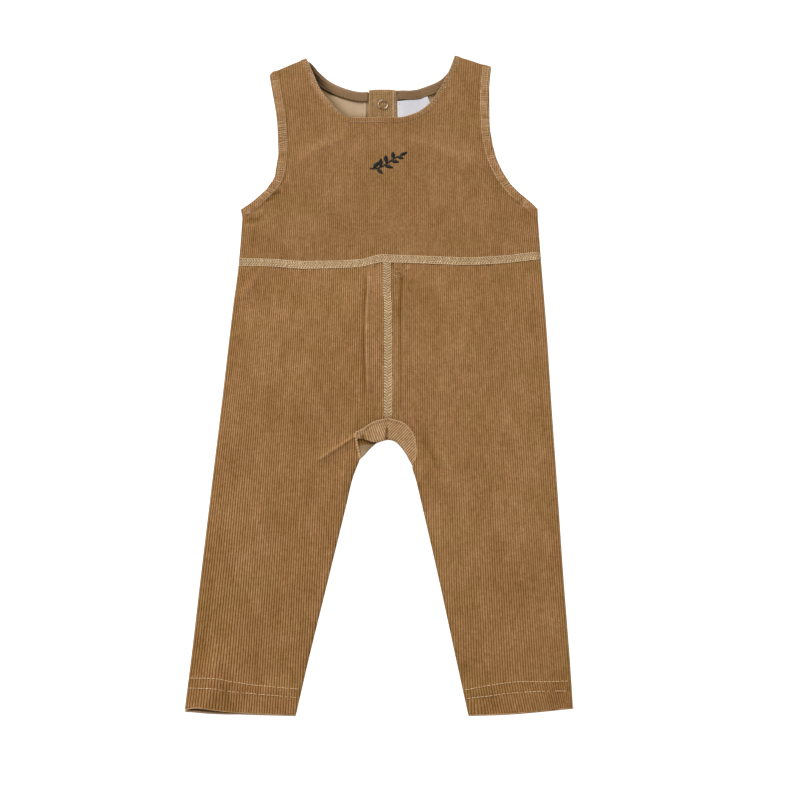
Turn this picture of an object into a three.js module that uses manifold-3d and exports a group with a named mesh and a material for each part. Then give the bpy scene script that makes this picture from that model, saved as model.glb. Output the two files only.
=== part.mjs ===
// A sleeveless, footless baby jumpsuit in fine-wale corduroy, laid out flat on its back.
// Millimetres, +Z up, +X to the wearer's left, +Y towards the shoulders.
// The origin is the middle of the underside of the whole garment, on the surface it lies on.
// Each cut-and-sewn piece is one closed wall of cloth. Pieces keep GAP between them at every seam.
import * as THREE from "three";
import { mergeVertices } from "three/addons/utils/BufferGeometryUtils.js";
import Module from "manifold-3d";

// ---- driving sizes ----
const CLOTH = 1.3; // thickness of the corduroy
const GAP = 0.3; // between two pieces at a seam, and between two layers that touch
const LAYER = CLOTH + GAP; // the lowest underside that the front may have over the back
const BODY_CROWN = 3.5; // how far the front of the body lies above the back at its middle
const LEG_CROWN = 1.7; // the same over one leg
const BODY_MID = 1.6; // x of the garment's middle
const BODY_HALF = 132; // half of the body's width
const CHEST_LEVEL = 117.5; // y of the underarm corners
const SEAM_X = 1.9; // x of the centre seams at the crotch
const WAIST_X = 0.3; // and at the waist
const LEG_COLUMNS = 12; // cells across a front leg
const BAND_LEFT = -18.6; // free edge of the inner button band, on the wearer's right
const BAND_RIGHT = 8.5; // its sewn edge
const BAND_SHIFT = 3.6; // the outer band lies this much further to the wearer's left
const BAND_TOP = 253.4; // y of both bands' top edges
const NECK_LIFT = 5; // how far the back neck edge curls up off the surface
const NECK_LIFT_FROM = 212; // y where it starts to curl
const NECK_LIFT_TO = 254;
const TAPE_WIDTH = 11;
const TAPE_THICK = 1;
const TAPE_STAND = 0.2; // the tape and the label stand this much further off the cloth
const LABEL_THICK = 0.6;
const SNAP_OUTER = 4.95; // radii and height of one snap ring
const SNAP_INNER = 3.5;
const SNAP_HEIGHT = 0.6;
const SNAP_X = -4.8;
const SNAP_TOP_Y = 235.9;
const SNAP_PITCH = 52;
const SNAP_COUNT = 4;

// ---- sections ----
// Side edges of the body and the outer edges of the legs.
const SIDES = [
  { y: 117.5, left: -131.3, right: 134.9 },
  { y: 108, left: -129.4, right: 134.5 },
  { y: 64, left: -128.5, right: 134.0 },
  { y: 5, left: -129.9, right: 133.7 },
  { y: -76, left: -131.1, right: 132.2 },
  { y: -134, left: -132.2, right: 131.4 },
  { y: -209, left: -133.5, right: 130.2 },
  { y: -264, left: -134.2, right: 129.8 },
  { y: -300, left: -134.9, right: 129.0 },
];
// Armholes, from the underarm corner up to the tip of the shoulder.
const ARMHOLE_LEFT = [
  { y: 117.5, x: -131.3 },
  { y: 123, x: -123.6 },
  { y: 133, x: -114.6 },
  { y: 141, x: -108.3 },
  { y: 152, x: -103.2 },
  { y: 166, x: -101.6 },
  { y: 180, x: -101.4 },
  { y: 197, x: -103.0 },
  { y: 220, x: -105.4 },
  { y: 238, x: -108.7 },
  { y: 276, x: -116.3 },
];
const ARMHOLE_RIGHT = [
  { y: 117.5, x: 134.9 },
  { y: 126, x: 128.4 },
  { y: 134.5, x: 119.6 },
  { y: 143, x: 113.1 },
  { y: 161, x: 104.2 },
  { y: 178, x: 99.4 },
  { y: 208, x: 96.2 },
  { y: 233, x: 96.2 },
  { y: 258, x: 97.7 },
  { y: 288, x: 101.2 },
];
// Shoulder seams, with the neck between them.
const SHOULDER = [
  { x: -117, y: 275.6 },
  { x: -113.5, y: 280.4 },
  { x: -81.2, y: 297.4 },
  { x: 65.8, y: 300.6 },
  { x: 101.6, y: 286.6 },
];
// Front neck edge.
const NECK_FRONT = [
  { x: -81.0, y: 297.6 },
  { x: -74.8, y: 281.8 },
  { x: -66.0, y: 258.4 },
  { x: -56.6, y: 242.7 },
  { x: -47.1, y: 229.2 },
  { x: -37.8, y: 221.2 },
  { x: -20.2, y: 219.8 },
  { x: 9.5, y: 219.6 },
  { x: 26.6, y: 225.3 },
  { x: 37.2, y: 235.2 },
  { x: 47.0, y: 252.0 },
  { x: 54.1, y: 267.2 },
  { x: 60.4, y: 283.7 },
  { x: 65.6, y: 300.8 },
];
// Back neck edge, under the tape.
const NECK_BACK = [
  { x: -81.0, y: 297.6 },
  { x: -77.1, y: 295.4 },
  { x: -74.3, y: 291.5 },
  { x: -68.6, y: 282.7 },
  { x: -64.5, y: 277.5 },
  { x: -60.3, y: 272.3 },
  { x: -56.2, y: 267.7 },
  { x: -52.1, y: 264.0 },
  { x: -48.1, y: 260.8 },
  { x: -44.0, y: 258.1 },
  { x: -40.1, y: 255.8 },
  { x: -36.2, y: 254.0 },
  { x: -32.3, y: 252.6 },
  { x: -25.1, y: 251.3 },
  { x: -5, y: 250.7 },
  { x: 8.0, y: 250.8 },
  { x: 11.9, y: 251.0 },
  { x: 19.5, y: 251.7 },
  { x: 26.8, y: 254.0 },
  { x: 31.1, y: 256.3 },
  { x: 40.4, y: 262.3 },
  { x: 46.9, y: 267.2 },
  { x: 53.1, y: 273.7 },
  { x: 60.6, y: 286.4 },
  { x: 65.6, y: 300.8 },
];
// Waist seam, and how far the hems lie below the shoulders' origin.
const WAIST = [
  { x: -129, y: 61.5 },
  { x: -96, y: 59.2 },
  { x: -69, y: 56.7 },
  { x: -45, y: 57.0 },
  { x: -21, y: 58.4 },
  { x: -3, y: 63.2 },
  { x: 8, y: 62.6 },
  { x: 37, y: 61.6 },
  { x: 67, y: 60.6 },
  { x: 98, y: 62.6 },
  { x: 134, y: 68.4 },
];
const HEM_RIGHT_LEG = [
  { x: -135, front: -293.9, back: -295.6 },
  { x: -124, front: -294.2, back: -296.8 },
  { x: -114, front: -295.7, back: -297.9 },
  { x: -97, front: -298.2, back: -299.2 },
  { x: -58, front: -299.9, back: -300.2 },
];
const HEM_LEFT_LEG = [
  { x: 56, front: -299.9, back: -300.2 },
  { x: 79, front: -299.2, back: -299.6 },
  { x: 106, front: -297.3, back: -297.8 },
  { x: 130, front: -295.2, back: -295.8 },
];
// Inner edges of the legs below the waist: the centre seam, the gusset's seam, then the inseam.
const INNER = [
  { y: 70, right: 0.3, left: 0.3 },
  { y: 36, right: 0.3, left: 0.3 },
  { y: 12, right: 1.3, left: 1.3 },
  { y: -83.6, right: SEAM_X, left: SEAM_X },
  { y: -84.7, right: -2.4, left: 5.2 },
  { y: -87.2, right: -10.2, left: 13.3 },
  { y: -91.6, right: -16.3, left: 18.1 },
  { y: -97.0, right: -24.0, left: 21.6 },
  { y: -103, right: -22.9, left: 23.6 },
  { y: -110.5, right: -21.3, left: 24.1 },
  { y: -117.8, right: -19.9, left: 23.4 },
  { y: -121.5, right: -21.3, left: 20.6 },
  { y: -134, right: -25.3, left: 23.7 },
  { y: -152, right: -28.9, left: 27.6 },
  { y: -209, right: -40.8, left: 39.7 },
  { y: -264, right: -52.4, left: 50.6 },
  { y: -300, right: -59.4, left: 57.9 },
];
// Crotch gusset, along its arch from the wearer's right leg to the left leg: seam edge, folded edge.
const GUSSET = [
  { seamX: -23.3, seamY: -97.9, foldX: -19.3, foldY: -117.0 },
  { seamX: -19.8, seamY: -94.6, foldX: -16.3, foldY: -113.9 },
  { seamX: -15.9, seamY: -92.1, foldX: -13.2, foldY: -109.9 },
  { seamX: -9.3, seamY: -87.5, foldX: -9.2, foldY: -105.7 },
  { seamX: -3.0, seamY: -85.2, foldX: -3.4, foldY: -102.2 },
  { seamX: 1.9, seamY: -84.4, foldX: 1.6, foldY: -100.9 },
  { seamX: 7.4, seamY: -85.6, foldX: 6.7, foldY: -101.9 },
  { seamX: 12.4, seamY: -87.5, foldX: 11.4, foldY: -106.0 },
  { seamX: 16.9, seamY: -91.4, foldX: 14.5, foldY: -110.1 },
  { seamX: 20.2, seamY: -96.2, foldX: 16.7, foldY: -114.0 },
  { seamX: 22.6, seamY: -103.5, foldX: 17.8, foldY: -116.2 },
  { seamX: 23.2, seamY: -111.5, foldX: 18.4, foldY: -117.6 },
];
// Largest soft ridges (height over 0) and troughs (under 0) of the front.
const FOLDS = [
  { x0: -14.5, y0: 60, x1: -15.8, y1: -56, reach: 4.5, height: 0.8 },
  { x0: 12.5, y0: 44, x1: 10.5, y1: -70, reach: 4.5, height: 0.8 },
  { x0: -106.5, y0: 54, x1: -125, y1: 24, reach: 7, height: 0.7 },
  { x0: -80, y0: 171, x1: -44, y1: 195, reach: 8, height: 0.6 },
  { x0: 17, y0: 195, x1: 76, y1: 171, reach: 8, height: 0.6 },
  { x0: -24, y0: -100, x1: -48, y1: -117, reach: 4, height: 0.9 },
  { x0: 37, y0: -104, x1: 46, y1: -128, reach: 6, height: -0.5 },
  { x0: 50, y0: -92, x1: 88, y1: -150, reach: 10, height: 0.6 },
  { x0: -122, y0: -296, x1: -118, y1: -272, reach: 12, height: 2.2 },
  { x0: -8, y0: 220, x1: 30, y1: 223, reach: 17, height: 1.2 },
];

// ---- small mathematics ----
const lerp = (a, b, t) => a + (b - a) * t;
const clamp01 = (t) => Math.min(1, Math.max(0, t));
const ease = (a, b, t) => {
  const s = clamp01((t - a) / (b - a));
  return s * s * (3 - 2 * s);
};
// A monotone cubic through a table's rows, read by one named column.
function reader(rows, key, column) {
  const list = [...rows].sort((a, b) => a[key] - b[key]);
  const t = list.map((r) => r[key]);
  const v = list.map((r) => r[column]);
  const d = t.slice(1).map((_, i) => (v[i + 1] - v[i]) / (t[i + 1] - t[i]));
  const m = t.map((_, i) =>
    i === 0
      ? d[0]
      : i === t.length - 1
        ? d[i - 1]
        : d[i - 1] * d[i] <= 0
          ? 0
          : (2 * d[i - 1] * d[i]) / (d[i - 1] + d[i]),
  );
  return (at) => {
    if (at <= t[0]) return v[0];
    if (at >= t[t.length - 1]) return v[t.length - 1];
    let i = 0;
    while (at > t[i + 1]) i++;
    const h = t[i + 1] - t[i];
    const s = (at - t[i]) / h;
    return (
      v[i] * (1 + 2 * s) * (1 - s) ** 2 +
      h * m[i] * s * (1 - s) ** 2 +
      v[i + 1] * s * s * (3 - 2 * s) +
      h * m[i + 1] * s * s * (s - 1)
    );
  };
}
const sideLeft = reader(SIDES, "y", "left");
const sideRight = reader(SIDES, "y", "right");
const armholeLeft = reader(ARMHOLE_LEFT, "y", "x");
const armholeRight = reader(ARMHOLE_RIGHT, "y", "x");
const waist = reader(WAIST, "x", "y");
// The back waist seam runs straight between the ends of the front one.
const backWaist = (x) =>
  lerp(waist(-129), waist(134), (x + 129) / 263);
const innerRight = reader(INNER, "y", "right");
const innerLeft = reader(INNER, "y", "left");
const edgeLeft = (y) => (y < CHEST_LEVEL ? sideLeft(y) : armholeLeft(y));
const edgeRight = (y) => (y < CHEST_LEVEL ? sideRight(y) : armholeRight(y));
const shoulder = (x) => {
  const rows = SHOULDER;
  let i = 0;
  while (i < rows.length - 2 && x > rows[i + 1].x) i++;
  const s = clamp01((x - rows[i].x) / (rows[i + 1].x - rows[i].x));
  return lerp(rows[i].y, rows[i + 1].y, s);
};

// ---- heights ----
function folds(x, y) {
  let z = 0;
  for (const f of FOLDS) {
    const dx = f.x1 - f.x0;
    const dy = f.y1 - f.y0;
    const along = ((x - f.x0) * dx + (y - f.y0) * dy) / (dx * dx + dy * dy);
    const across = Math.hypot(
      x - (f.x0 + clamp01(along) * dx),
      y - (f.y0 + clamp01(along) * dy),
    );
    z += f.height * Math.exp(-((across / f.reach) ** 2));
  }
  return z;
}
// Underside of the front: one low crown over the body, parting into one over each leg.
function frontUnder(x, y) {
  const parting = ease(0, -105, y);
  const body = 1 - Math.min(1, Math.abs((x - BODY_MID) / BODY_HALF)) ** 3;
  const [outer, inner] =
    x < BODY_MID
      ? [sideLeft(y), innerRight(y)]
      : [sideRight(y), innerLeft(y)];
  const across = Math.min(1, Math.abs((2 * (x - outer)) / (inner - outer) - 1));
  const leg = 1 - across ** 3;
  return (
    LAYER +
    Math.max(
      0,
      lerp(BODY_CROWN * body, LEG_CROWN * leg, parting) + folds(x, y),
    )
  );
}
// How far the back neck edge curls up between the shoulders.
const neckLift = (x, y) =>
  NECK_LIFT *
  ease(NECK_LIFT_FROM, NECK_LIFT_TO, y) *
  (1 - ease(28, 68, Math.abs(x - SNAP_X)));
// The outer band rises off the surface for the snaps, and comes down to the waist seam.
const snapRise = (y) => SNAP_HEIGHT * 1.5 * ease(64, 76, y);
// Undersides of the back's layers.
const outerBandUnder = (x, y) => snapRise(y) + neckLift(x, y);
const innerBandUnder = (x, y) => outerBandUnder(x, y) + LAYER;
const backRightUnder = (x, y) =>
  neckLift(x, y) + snapRise(y) * ease(-28, BAND_LEFT + BAND_SHIFT, x);
const backLeftUnder = (x, y) =>
  neckLift(x, y) + (snapRise(y) + LAYER) * ease(32, 12, x);

// ---- walls ----
// A closed wall over a grid of cells: at(u, v) gives [x, y, underside, thickness] for u and v from 0 to 1.
function wall(columns, rows, at) {
  const g = new THREE.BoxGeometry(1, 1, 1, columns, rows, 1);
  const p = g.attributes.position;
  for (let i = 0; i < p.count; i++) {
    const [x, y, under, thick] = at(p.getX(i) + 0.5, p.getY(i) + 0.5);
    p.setXYZ(i, x, y, under + (p.getZ(i) > 0 ? thick : 0));
  }
  return closed(g);
}
function closed(geometry) {
  geometry.deleteAttribute("normal");
  geometry.deleteAttribute("uv");
  return mergeVertices(geometry, 1e-4);
}
const wasm = await Module();
wasm.setup();
const solid = (g) =>
  new wasm.Manifold(
    new wasm.Mesh({
      numProp: 3,
      vertProperties: new Float32Array(g.attributes.position.array),
      triVerts: new Uint32Array(g.index.array),
    }),
  );
function geometryOf(manifold) {
  const m = manifold.getMesh();
  return new THREE.BufferGeometry()
    .setAttribute(
      "position",
      new THREE.BufferAttribute(new Float32Array(m.vertProperties), 3),
    )
    .setIndex(new THREE.BufferAttribute(new Uint32Array(m.triVerts), 1));
}
// Everything over a neck edge, as a tall plug to cut away.
function neckPlug(rows) {
  const first = rows[0];
  const last = rows[rows.length - 1];
  const y = reader(rows, "x", "y");
  const shape = new THREE.Shape();
  shape.moveTo(first.x, 340);
  const steps = 30;
  for (let i = 0; i <= steps; i++) {
    // even steps round the bowl of the neck, close together where it is steep
    const x = lerp(first.x, last.x, 0.5 - 0.5 * Math.cos((Math.PI * i) / steps));
    shape.lineTo(x, y(x));
  }
  shape.lineTo(last.x, 340);
  shape.closePath();
  const g = new THREE.ExtrudeGeometry(shape, {
    depth: 60,
    bevelEnabled: false,
  });
  g.translate(0, 0, -20);
  return solid(closed(g));
}
const cutNeck = (geometry, rows) =>
  geometryOf(solid(geometry).subtract(neckPlug(rows)));

// Levels of the bodice's rows, from the waist seam up to the shoulder line. The top rows follow the shoulders.
const BODICE_LEVELS = [
  60, 72, 86, 102, 117.5, 124, 134, 146, 165, 188, 212, 222, 232, 242, 252, 263,
  276, 290,
];
const BODICE_ROWS = BODICE_LEVELS.length - 1;
// Shares of the width of a back half, from the band out to the side.
const BACK_SHARES = [
  0, 0.025, 0.05, 0.08, 0.12, 0.2, 0.3, 0.4, 0.5, 0.6, 0.7, 0.85, 1,
];
const BACK_COLUMNS = BACK_SHARES.length - 1;
function bodicePoint(v, waistLine, xAt) {
  const low = BODICE_LEVELS[0];
  const high = BODICE_LEVELS[BODICE_ROWS];
  const level = BODICE_LEVELS[Math.round(v * BODICE_ROWS)];
  const toWaist = ease(110, low, level);
  const toShoulder = ease(215, high, level);
  const real = (x) =>
    level +
    toWaist * (waistLine(x) + GAP / 2 - low) +
    toShoulder * (shoulder(x) - high);
  const left = edgeLeft(real(edgeLeft(level)));
  const right = edgeRight(real(edgeRight(level)));
  const x = xAt(left, right);
  return [x, real(x)];
}
function frontBodice() {
  return cutNeck(
    wall(2 * LEG_COLUMNS, BODICE_ROWS, (u, v) => {
      // the same columns as the legs below, so that both edges of the waist seam run alike
      const [x, y] = bodicePoint(v, waist, (l, r) =>
        u < 0.5
          ? lerp(l, WAIST_X, 2 * u)
          : lerp(WAIST_X, r, 2 * u - 1),
      );
      return [x, y, frontUnder(x, y), CLOTH];
    }),
    NECK_FRONT,
  );
}
// Half of the back bodice, out to the band: side is -1 for the wearer's right.
function backBodice(side) {
  const end = side < 0 ? BAND_LEFT + BAND_SHIFT - GAP : BAND_RIGHT + GAP;
  const under = side < 0 ? backRightUnder : backLeftUnder;
  return cutNeck(
    wall(BACK_COLUMNS, BODICE_ROWS, (u, v) => {
      const share = BACK_SHARES[Math.round((side < 0 ? 1 - u : u) * BACK_COLUMNS)];
      const [x, y] = bodicePoint(v, backWaist, (l, r) => lerp(end, side < 0 ? l : r, share));
      return [x, y, under(x, y), CLOTH];
    }),
    NECK_BACK,
  );
}
function band(from, to, under) {
  return wall(4, 14, (u, v) => {
    const x = lerp(from, to, u);
    const corner = 1.6 * Math.abs(2 * u - 1) ** 4;
    const y = lerp(backWaist(x) + GAP / 2, BAND_TOP - corner, v);
    return [x, y, under(x, y), CLOTH];
  });
}
// One leg panel, front or back, with the seam gap taken off its inner edge.
function legPoint(side, hem, u, v, waistLine) {
  const top = 62;
  const bottom = -298;
  const level = lerp(bottom, top, v);
  const outer = side < 0 ? sideLeft(level) : sideRight(level);
  const inner =
    (side < 0 ? innerRight(level) : innerLeft(level)) + (side * GAP) / 2;
  const x = side < 0 ? lerp(outer, inner, u) : lerp(inner, outer, u);
  const y =
    level +
    ease(20, top, level) * (waistLine(x) - GAP / 2 - top) +
    ease(-250, bottom, level) * (hem(x) - bottom);
  return [x, y];
}
// Rows of a leg, close together round the gusset.
const LEG_ROWS = [
  { v: 0, y: -298 },
  { v: 1, y: -292 },
  { v: 2, y: -280 },
  { v: 3, y: -262 },
  { v: 4, y: -236 },
  { v: 5, y: -209 },
  { v: 6, y: -180 },
  { v: 7, y: -152 },
  { v: 8, y: -134 },
  { v: 9, y: -125 },
  { v: 10, y: -121 },
  { v: 11, y: -117.8 },
  { v: 12, y: -110.5 },
  { v: 13, y: -103 },
  { v: 14, y: -97 },
  { v: 15, y: -91.6 },
  { v: 16, y: -87.2 },
  { v: 17, y: -84.7 },
  { v: 18, y: -83.6 },
  { v: 19, y: -66 },
  { v: 20, y: -40 },
  { v: 21, y: -12 },
  { v: 22, y: 12 },
  { v: 23, y: 36 },
  { v: 24, y: 51 },
  { v: 25, y: 62 },
];
const legRow = (v) => {
  const i = Math.round(v * (LEG_ROWS.length - 1));
  return (LEG_ROWS[i].y + 298) / 360;
};
function leg(side, layer) {
  const rows = side < 0 ? HEM_RIGHT_LEG : HEM_LEFT_LEG;
  const hem = reader(rows, "x", layer);
  const isFront = layer === "front";
  return wall(isFront ? LEG_COLUMNS : 4, LEG_ROWS.length - 1, (u, v) => {
    const [x, y] = legPoint(side, hem, u, legRow(v), isFront ? waist : backWaist);
    return [x, y, isFront ? frontUnder(x, y) : 0, CLOTH];
  });
}
// The gusset is folded in two along the arch between the legs: back layer, fold, front layer.
function gusset() {
  const n = GUSSET.length - 1;
  const turn = 5; // steps round the fold
  const steps = turn + 4;
  const g = new THREE.BoxGeometry(1, 1, 1, n, steps, 1);
  const p = g.attributes.position;
  for (let i = 0; i < p.count; i++) {
    const row = GUSSET[Math.round((p.getX(i) + 0.5) * n)];
    const step = Math.round((p.getY(i) + 0.5) * steps);
    const outside = p.getZ(i) > 0;
    const long = Math.hypot(row.seamX - row.foldX, row.seamY - row.foldY);
    const top = frontUnder(row.seamX, row.seamY) + CLOTH;
    const radius = top / 2;
    // distance from the folded edge, and height, on the outer skin or the inner one
    let reach;
    let z;
    if (step <= 1 || step >= steps - 1) {
      const back = step <= 1;
      reach = step === 0 || step === steps ? long : (long + radius) / 2;
      z = back ? (outside ? 0 : CLOTH) : outside ? top : top - CLOTH;
    } else {
      const angle = -Math.PI / 2 + (Math.PI * (step - 2)) / turn;
      const r = outside ? radius : radius - CLOTH;
      reach = radius - r * Math.cos(angle);
      z = radius + r * Math.sin(angle);
    }
    const t = reach / long;
    p.setXYZ(
      i,
      lerp(row.foldX, row.seamX, t),
      lerp(row.foldY, row.seamY, t),
      z,
    );
  }
  return closed(g);
}
// Neck tape along the back neck edge, on the inner face of the back.
function tape(side) {
  const neck = reader(NECK_BACK, "x", "y");
  const from = side < 0 ? -74.5 : BAND_RIGHT + 0.6;
  const to = side < 0 ? BAND_LEFT - 0.6 : 58.5;
  const under = side < 0 ? backRightUnder : backLeftUnder;
  return wall(12, 2, (u, v) => {
    const x = lerp(from, to, u);
    const slope = (neck(x + 0.5) - neck(x - 0.5)) / 1;
    const size = Math.hypot(1, slope);
    const in_ = lerp(TAPE_WIDTH, 0.4, v);
    const px = x + (in_ * slope) / size;
    const py = neck(x) - in_ / size;
    const qx = side < 0 ? Math.min(px, to) : Math.max(px, from);
    return [qx, py, under(qx, py) + LAYER + TAPE_STAND, TAPE_THICK];
  });
}
// Blank woven label, tucked under the tape's edge and lying on the inner face of the back.
const LABEL = [
  { v: 0, left: 10.6, right: 37.0, y: 212 },
  { v: 1, left: 10.4, right: 41.2, y: 238.6 },
];
function label() {
  return wall(10, 6, (u, v) => {
    const left = lerp(LABEL[0].left, LABEL[1].left, v);
    const right = lerp(LABEL[0].right, LABEL[1].right, v);
    const x = lerp(left, right, u);
    const y = lerp(LABEL[0].y, LABEL[1].y + 2.4 * u, v);
    return [x, y, backLeftUnder(x, y) + LAYER + TAPE_STAND, LABEL_THICK];
  });
}
// One snap ring. Its profile closes on itself, so the ring is one solid.
function snapRing() {
  const h = SNAP_HEIGHT;
  const profile = [
    [SNAP_INNER, 0],
    [SNAP_OUTER, 0],
    [SNAP_OUTER, h],
    [SNAP_INNER, h],
    [SNAP_INNER, 0],
  ].map(([r, z]) => new THREE.Vector2(r, z));
  const g = new THREE.LatheGeometry(profile, 12);
  g.rotateX(Math.PI / 2);
  return closed(g);
}

// ---- the garment ----
const corduroy = (name, tint) => {
  const m = new THREE.MeshStandardMaterial({
    color: new THREE.Color(0.29, 0.155, 0.062).multiplyScalar(tint),
    roughness: 0.95,
    metalness: 0,
  });
  m.name = name;
  return m;
};
const plain = (name, r, g, b, roughness, metalness) => {
  const m = new THREE.MeshStandardMaterial({
    color: new THREE.Color(r, g, b),
    roughness,
    metalness,
  });
  m.name = name;
  return m;
};

const garment = new THREE.Group();
garment.name = "jumpsuit";
const front = new THREE.Group();
const back = new THREE.Group();
const closure = new THREE.Group();
garment.add(front, back, closure);

function piece(group, name, geometry, material) {
  const mesh = new THREE.Mesh(geometry, material);
  mesh.name = name;
  group.add(mesh);
  return mesh;
}
piece(front, "front_bodice", frontBodice(), corduroy("front_bodice", 1));
piece(front, "front_leg_right", leg(-1, "front"), corduroy("leg_a", 1.02));
piece(front, "front_leg_left", leg(1, "front"), corduroy("leg_b", 1.04));
piece(front, "crotch_gusset", gusset(), corduroy("gusset", 1.1));
piece(back, "back_bodice_right", backBodice(-1), corduroy("back_a", 0.98));
piece(back, "back_bodice_left", backBodice(1), corduroy("back_b", 0.98));
piece(back, "back_leg_right", leg(-1, "back"), corduroy("back_c", 1));
piece(back, "back_leg_left", leg(1, "back"), corduroy("back_d", 1));
piece(
  closure,
  "button_band_inner",
  band(BAND_LEFT, BAND_RIGHT, innerBandUnder),
  corduroy("band_inner", 1),
);
piece(
  closure,
  "button_band_outer",
  band(BAND_LEFT + BAND_SHIFT, BAND_RIGHT + BAND_SHIFT, outerBandUnder),
  corduroy("band_outer", 1),
);
piece(back, "neck_tape_right", tape(-1), plain("tape_a", 0.22, 0.14, 0.07, 0.8, 0));
piece(back, "neck_tape_left", tape(1), plain("tape_b", 0.22, 0.14, 0.07, 0.8, 0));
piece(back, "blank_label", label(), plain("label", 0.78, 0.77, 0.78, 0.6, 0));
for (let i = 0; i < SNAP_COUNT; i++) {
  const y = SNAP_TOP_Y - i * SNAP_PITCH;
  // a ring lies along the cloth, tilted as the cloth tilts
  const slope =
    (neckLift(SNAP_X, y + 2) - neckLift(SNAP_X, y - 2)) / 4;
  const tilt = Math.atan(slope);
  const rings = [
    ["snap_ring_inner_" + (i + 1), innerBandUnder(SNAP_X, y) + LAYER],
    [
      "snap_ring_outer_" + (i + 1),
      outerBandUnder(SNAP_X, y) - SNAP_HEIGHT - GAP,
    ],
  ];
  for (const [name, z] of rings) {
    const ring = piece(
      closure,
      name,
      snapRing(),
      plain("snap", 0.75, 0.72, 0.66, 0.3, 1),
    );
    ring.position.set(SNAP_X, y, z);
    ring.rotation.x = tilt;
  }
}

export default garment;
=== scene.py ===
import math

import bpy
import numpy as np
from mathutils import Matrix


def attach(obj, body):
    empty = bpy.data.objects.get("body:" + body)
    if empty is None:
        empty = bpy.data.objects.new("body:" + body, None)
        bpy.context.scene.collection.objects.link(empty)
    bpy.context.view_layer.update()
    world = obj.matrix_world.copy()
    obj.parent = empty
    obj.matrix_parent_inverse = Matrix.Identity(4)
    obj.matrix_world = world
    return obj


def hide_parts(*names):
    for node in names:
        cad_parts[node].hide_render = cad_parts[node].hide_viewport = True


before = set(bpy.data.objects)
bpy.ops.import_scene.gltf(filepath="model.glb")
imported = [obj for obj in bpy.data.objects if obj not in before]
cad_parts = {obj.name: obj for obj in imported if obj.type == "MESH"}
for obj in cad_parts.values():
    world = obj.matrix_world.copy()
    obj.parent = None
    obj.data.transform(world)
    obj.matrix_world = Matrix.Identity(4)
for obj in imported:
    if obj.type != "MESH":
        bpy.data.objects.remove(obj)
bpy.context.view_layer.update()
MM = 0.001

# ---------------------------------------------------------------- camera
TILT = math.radians(22.87)
cam_data = bpy.data.cameras.new("camera")
cam_data.sensor_width = 36.0
cam_data.lens = 740.0 * 36.0 / 800.0
cam_data.clip_start = 0.01
cam_data.clip_end = 20.0
camera = bpy.data.objects.new("camera", cam_data)
camera.location = (0.0114, -0.29765, 0.5475)
camera.rotation_euler = (TILT, 0.0, 0.0)
bpy.context.scene.collection.objects.link(camera)
bpy.context.scene.camera = camera

# ---------------------------------------------------------------- the construction's sizes, repeated
CLOTH = 1.3
LAYER = 1.6
BODY_CROWN = 3.5
LEG_CROWN = 1.7
BODY_MID = 1.6
BODY_HALF = 132.0
CHEST_LEVEL = 117.5
SEAM_X = 1.9
BAND_LEFT = -18.6
BAND_RIGHT = 8.5
BAND_SHIFT = 3.6
BAND_TOP = 253.4
NECK_LIFT = 5.0
NECK_LIFT_FROM = 212.0
NECK_LIFT_TO = 254.0
TAPE_WIDTH = 11.0
TAPE_THICK = 1.0
TAPE_STAND = 0.2
LABEL_THICK = 0.6
SNAP_OUTER = 4.95
SNAP_INNER = 3.5
SNAP_HEIGHT = 0.6
SNAP_X = -4.8
SNAP_TOP_Y = 235.9
SNAP_PITCH = 52.0
SNAP_COUNT = 4
WALE = 1.755

SIDES = [
    (117.5, -131.3, 134.9), (108, -129.4, 134.5), (64, -128.5, 134.0), (5, -129.9, 133.7), (-76, -131.1, 132.2),
    (-134, -132.2, 131.4), (-209, -133.5, 130.2), (-264, -134.2, 129.8), (-300, -134.9, 129.0),
]
ARMHOLE_LEFT = [
    (117.5, -131.3), (123, -123.6), (133, -114.6), (141, -108.3), (152, -103.2), (166, -101.6), (180, -101.4),
    (197, -103.0), (220, -105.4), (238, -108.7), (276, -116.3),
]
ARMHOLE_RIGHT = [
    (117.5, 134.9), (126, 128.4), (134.5, 119.6), (143, 113.1), (161, 104.2), (178, 99.4), (208, 96.2), (233, 96.2),
    (258, 97.7), (288, 101.2),
]
SHOULDER = [(-117, 275.6), (-113.5, 280.4), (-81.2, 297.4), (65.8, 300.6), (101.6, 286.6)]
NECK_FRONT = [
    (-81.0, 297.6), (-74.8, 281.8), (-66.0, 258.4), (-56.6, 242.7), (-47.1, 229.2), (-37.8, 221.2), (-20.2, 219.8),
    (9.5, 219.6), (26.6, 225.3), (37.2, 235.2), (47.0, 252.0), (54.1, 267.2), (60.4, 283.7), (65.6, 300.8),
]
NECK_BACK = [
    (-81.0, 297.6), (-77.1, 295.4), (-74.3, 291.5), (-68.6, 282.7), (-64.5, 277.5), (-60.3, 272.3),
    (-56.2, 267.7), (-52.1, 264.0), (-48.1, 260.8), (-44.0, 258.1), (-40.1, 255.8), (-36.2, 254.0),
    (-32.3, 252.6), (-25.1, 251.3), (-5, 250.7), (8.0, 250.8), (11.9, 251.0), (19.5, 251.7), (26.8, 254.0),
    (31.1, 256.3), (40.4, 262.3), (46.9, 267.2), (53.1, 273.7), (60.6, 286.4), (65.6, 300.8),
]
WAIST = [
    (-129, 61.5), (-96, 59.2), (-69, 56.7), (-45, 57.0), (-21, 58.4), (-3, 63.2), (8, 62.6), (37, 61.6), (67, 60.6),
    (98, 62.6), (134, 68.4),
]
HEM_RIGHT_LEG = [(-135, -293.9, -295.6), (-124, -294.2, -296.8), (-114, -295.7, -297.9), (-97, -298.2, -299.2), (-58, -299.9, -300.2)]
HEM_LEFT_LEG = [(56, -299.9, -300.2), (79, -299.2, -299.6), (106, -297.3, -297.8), (130, -295.2, -295.8)]
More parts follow.
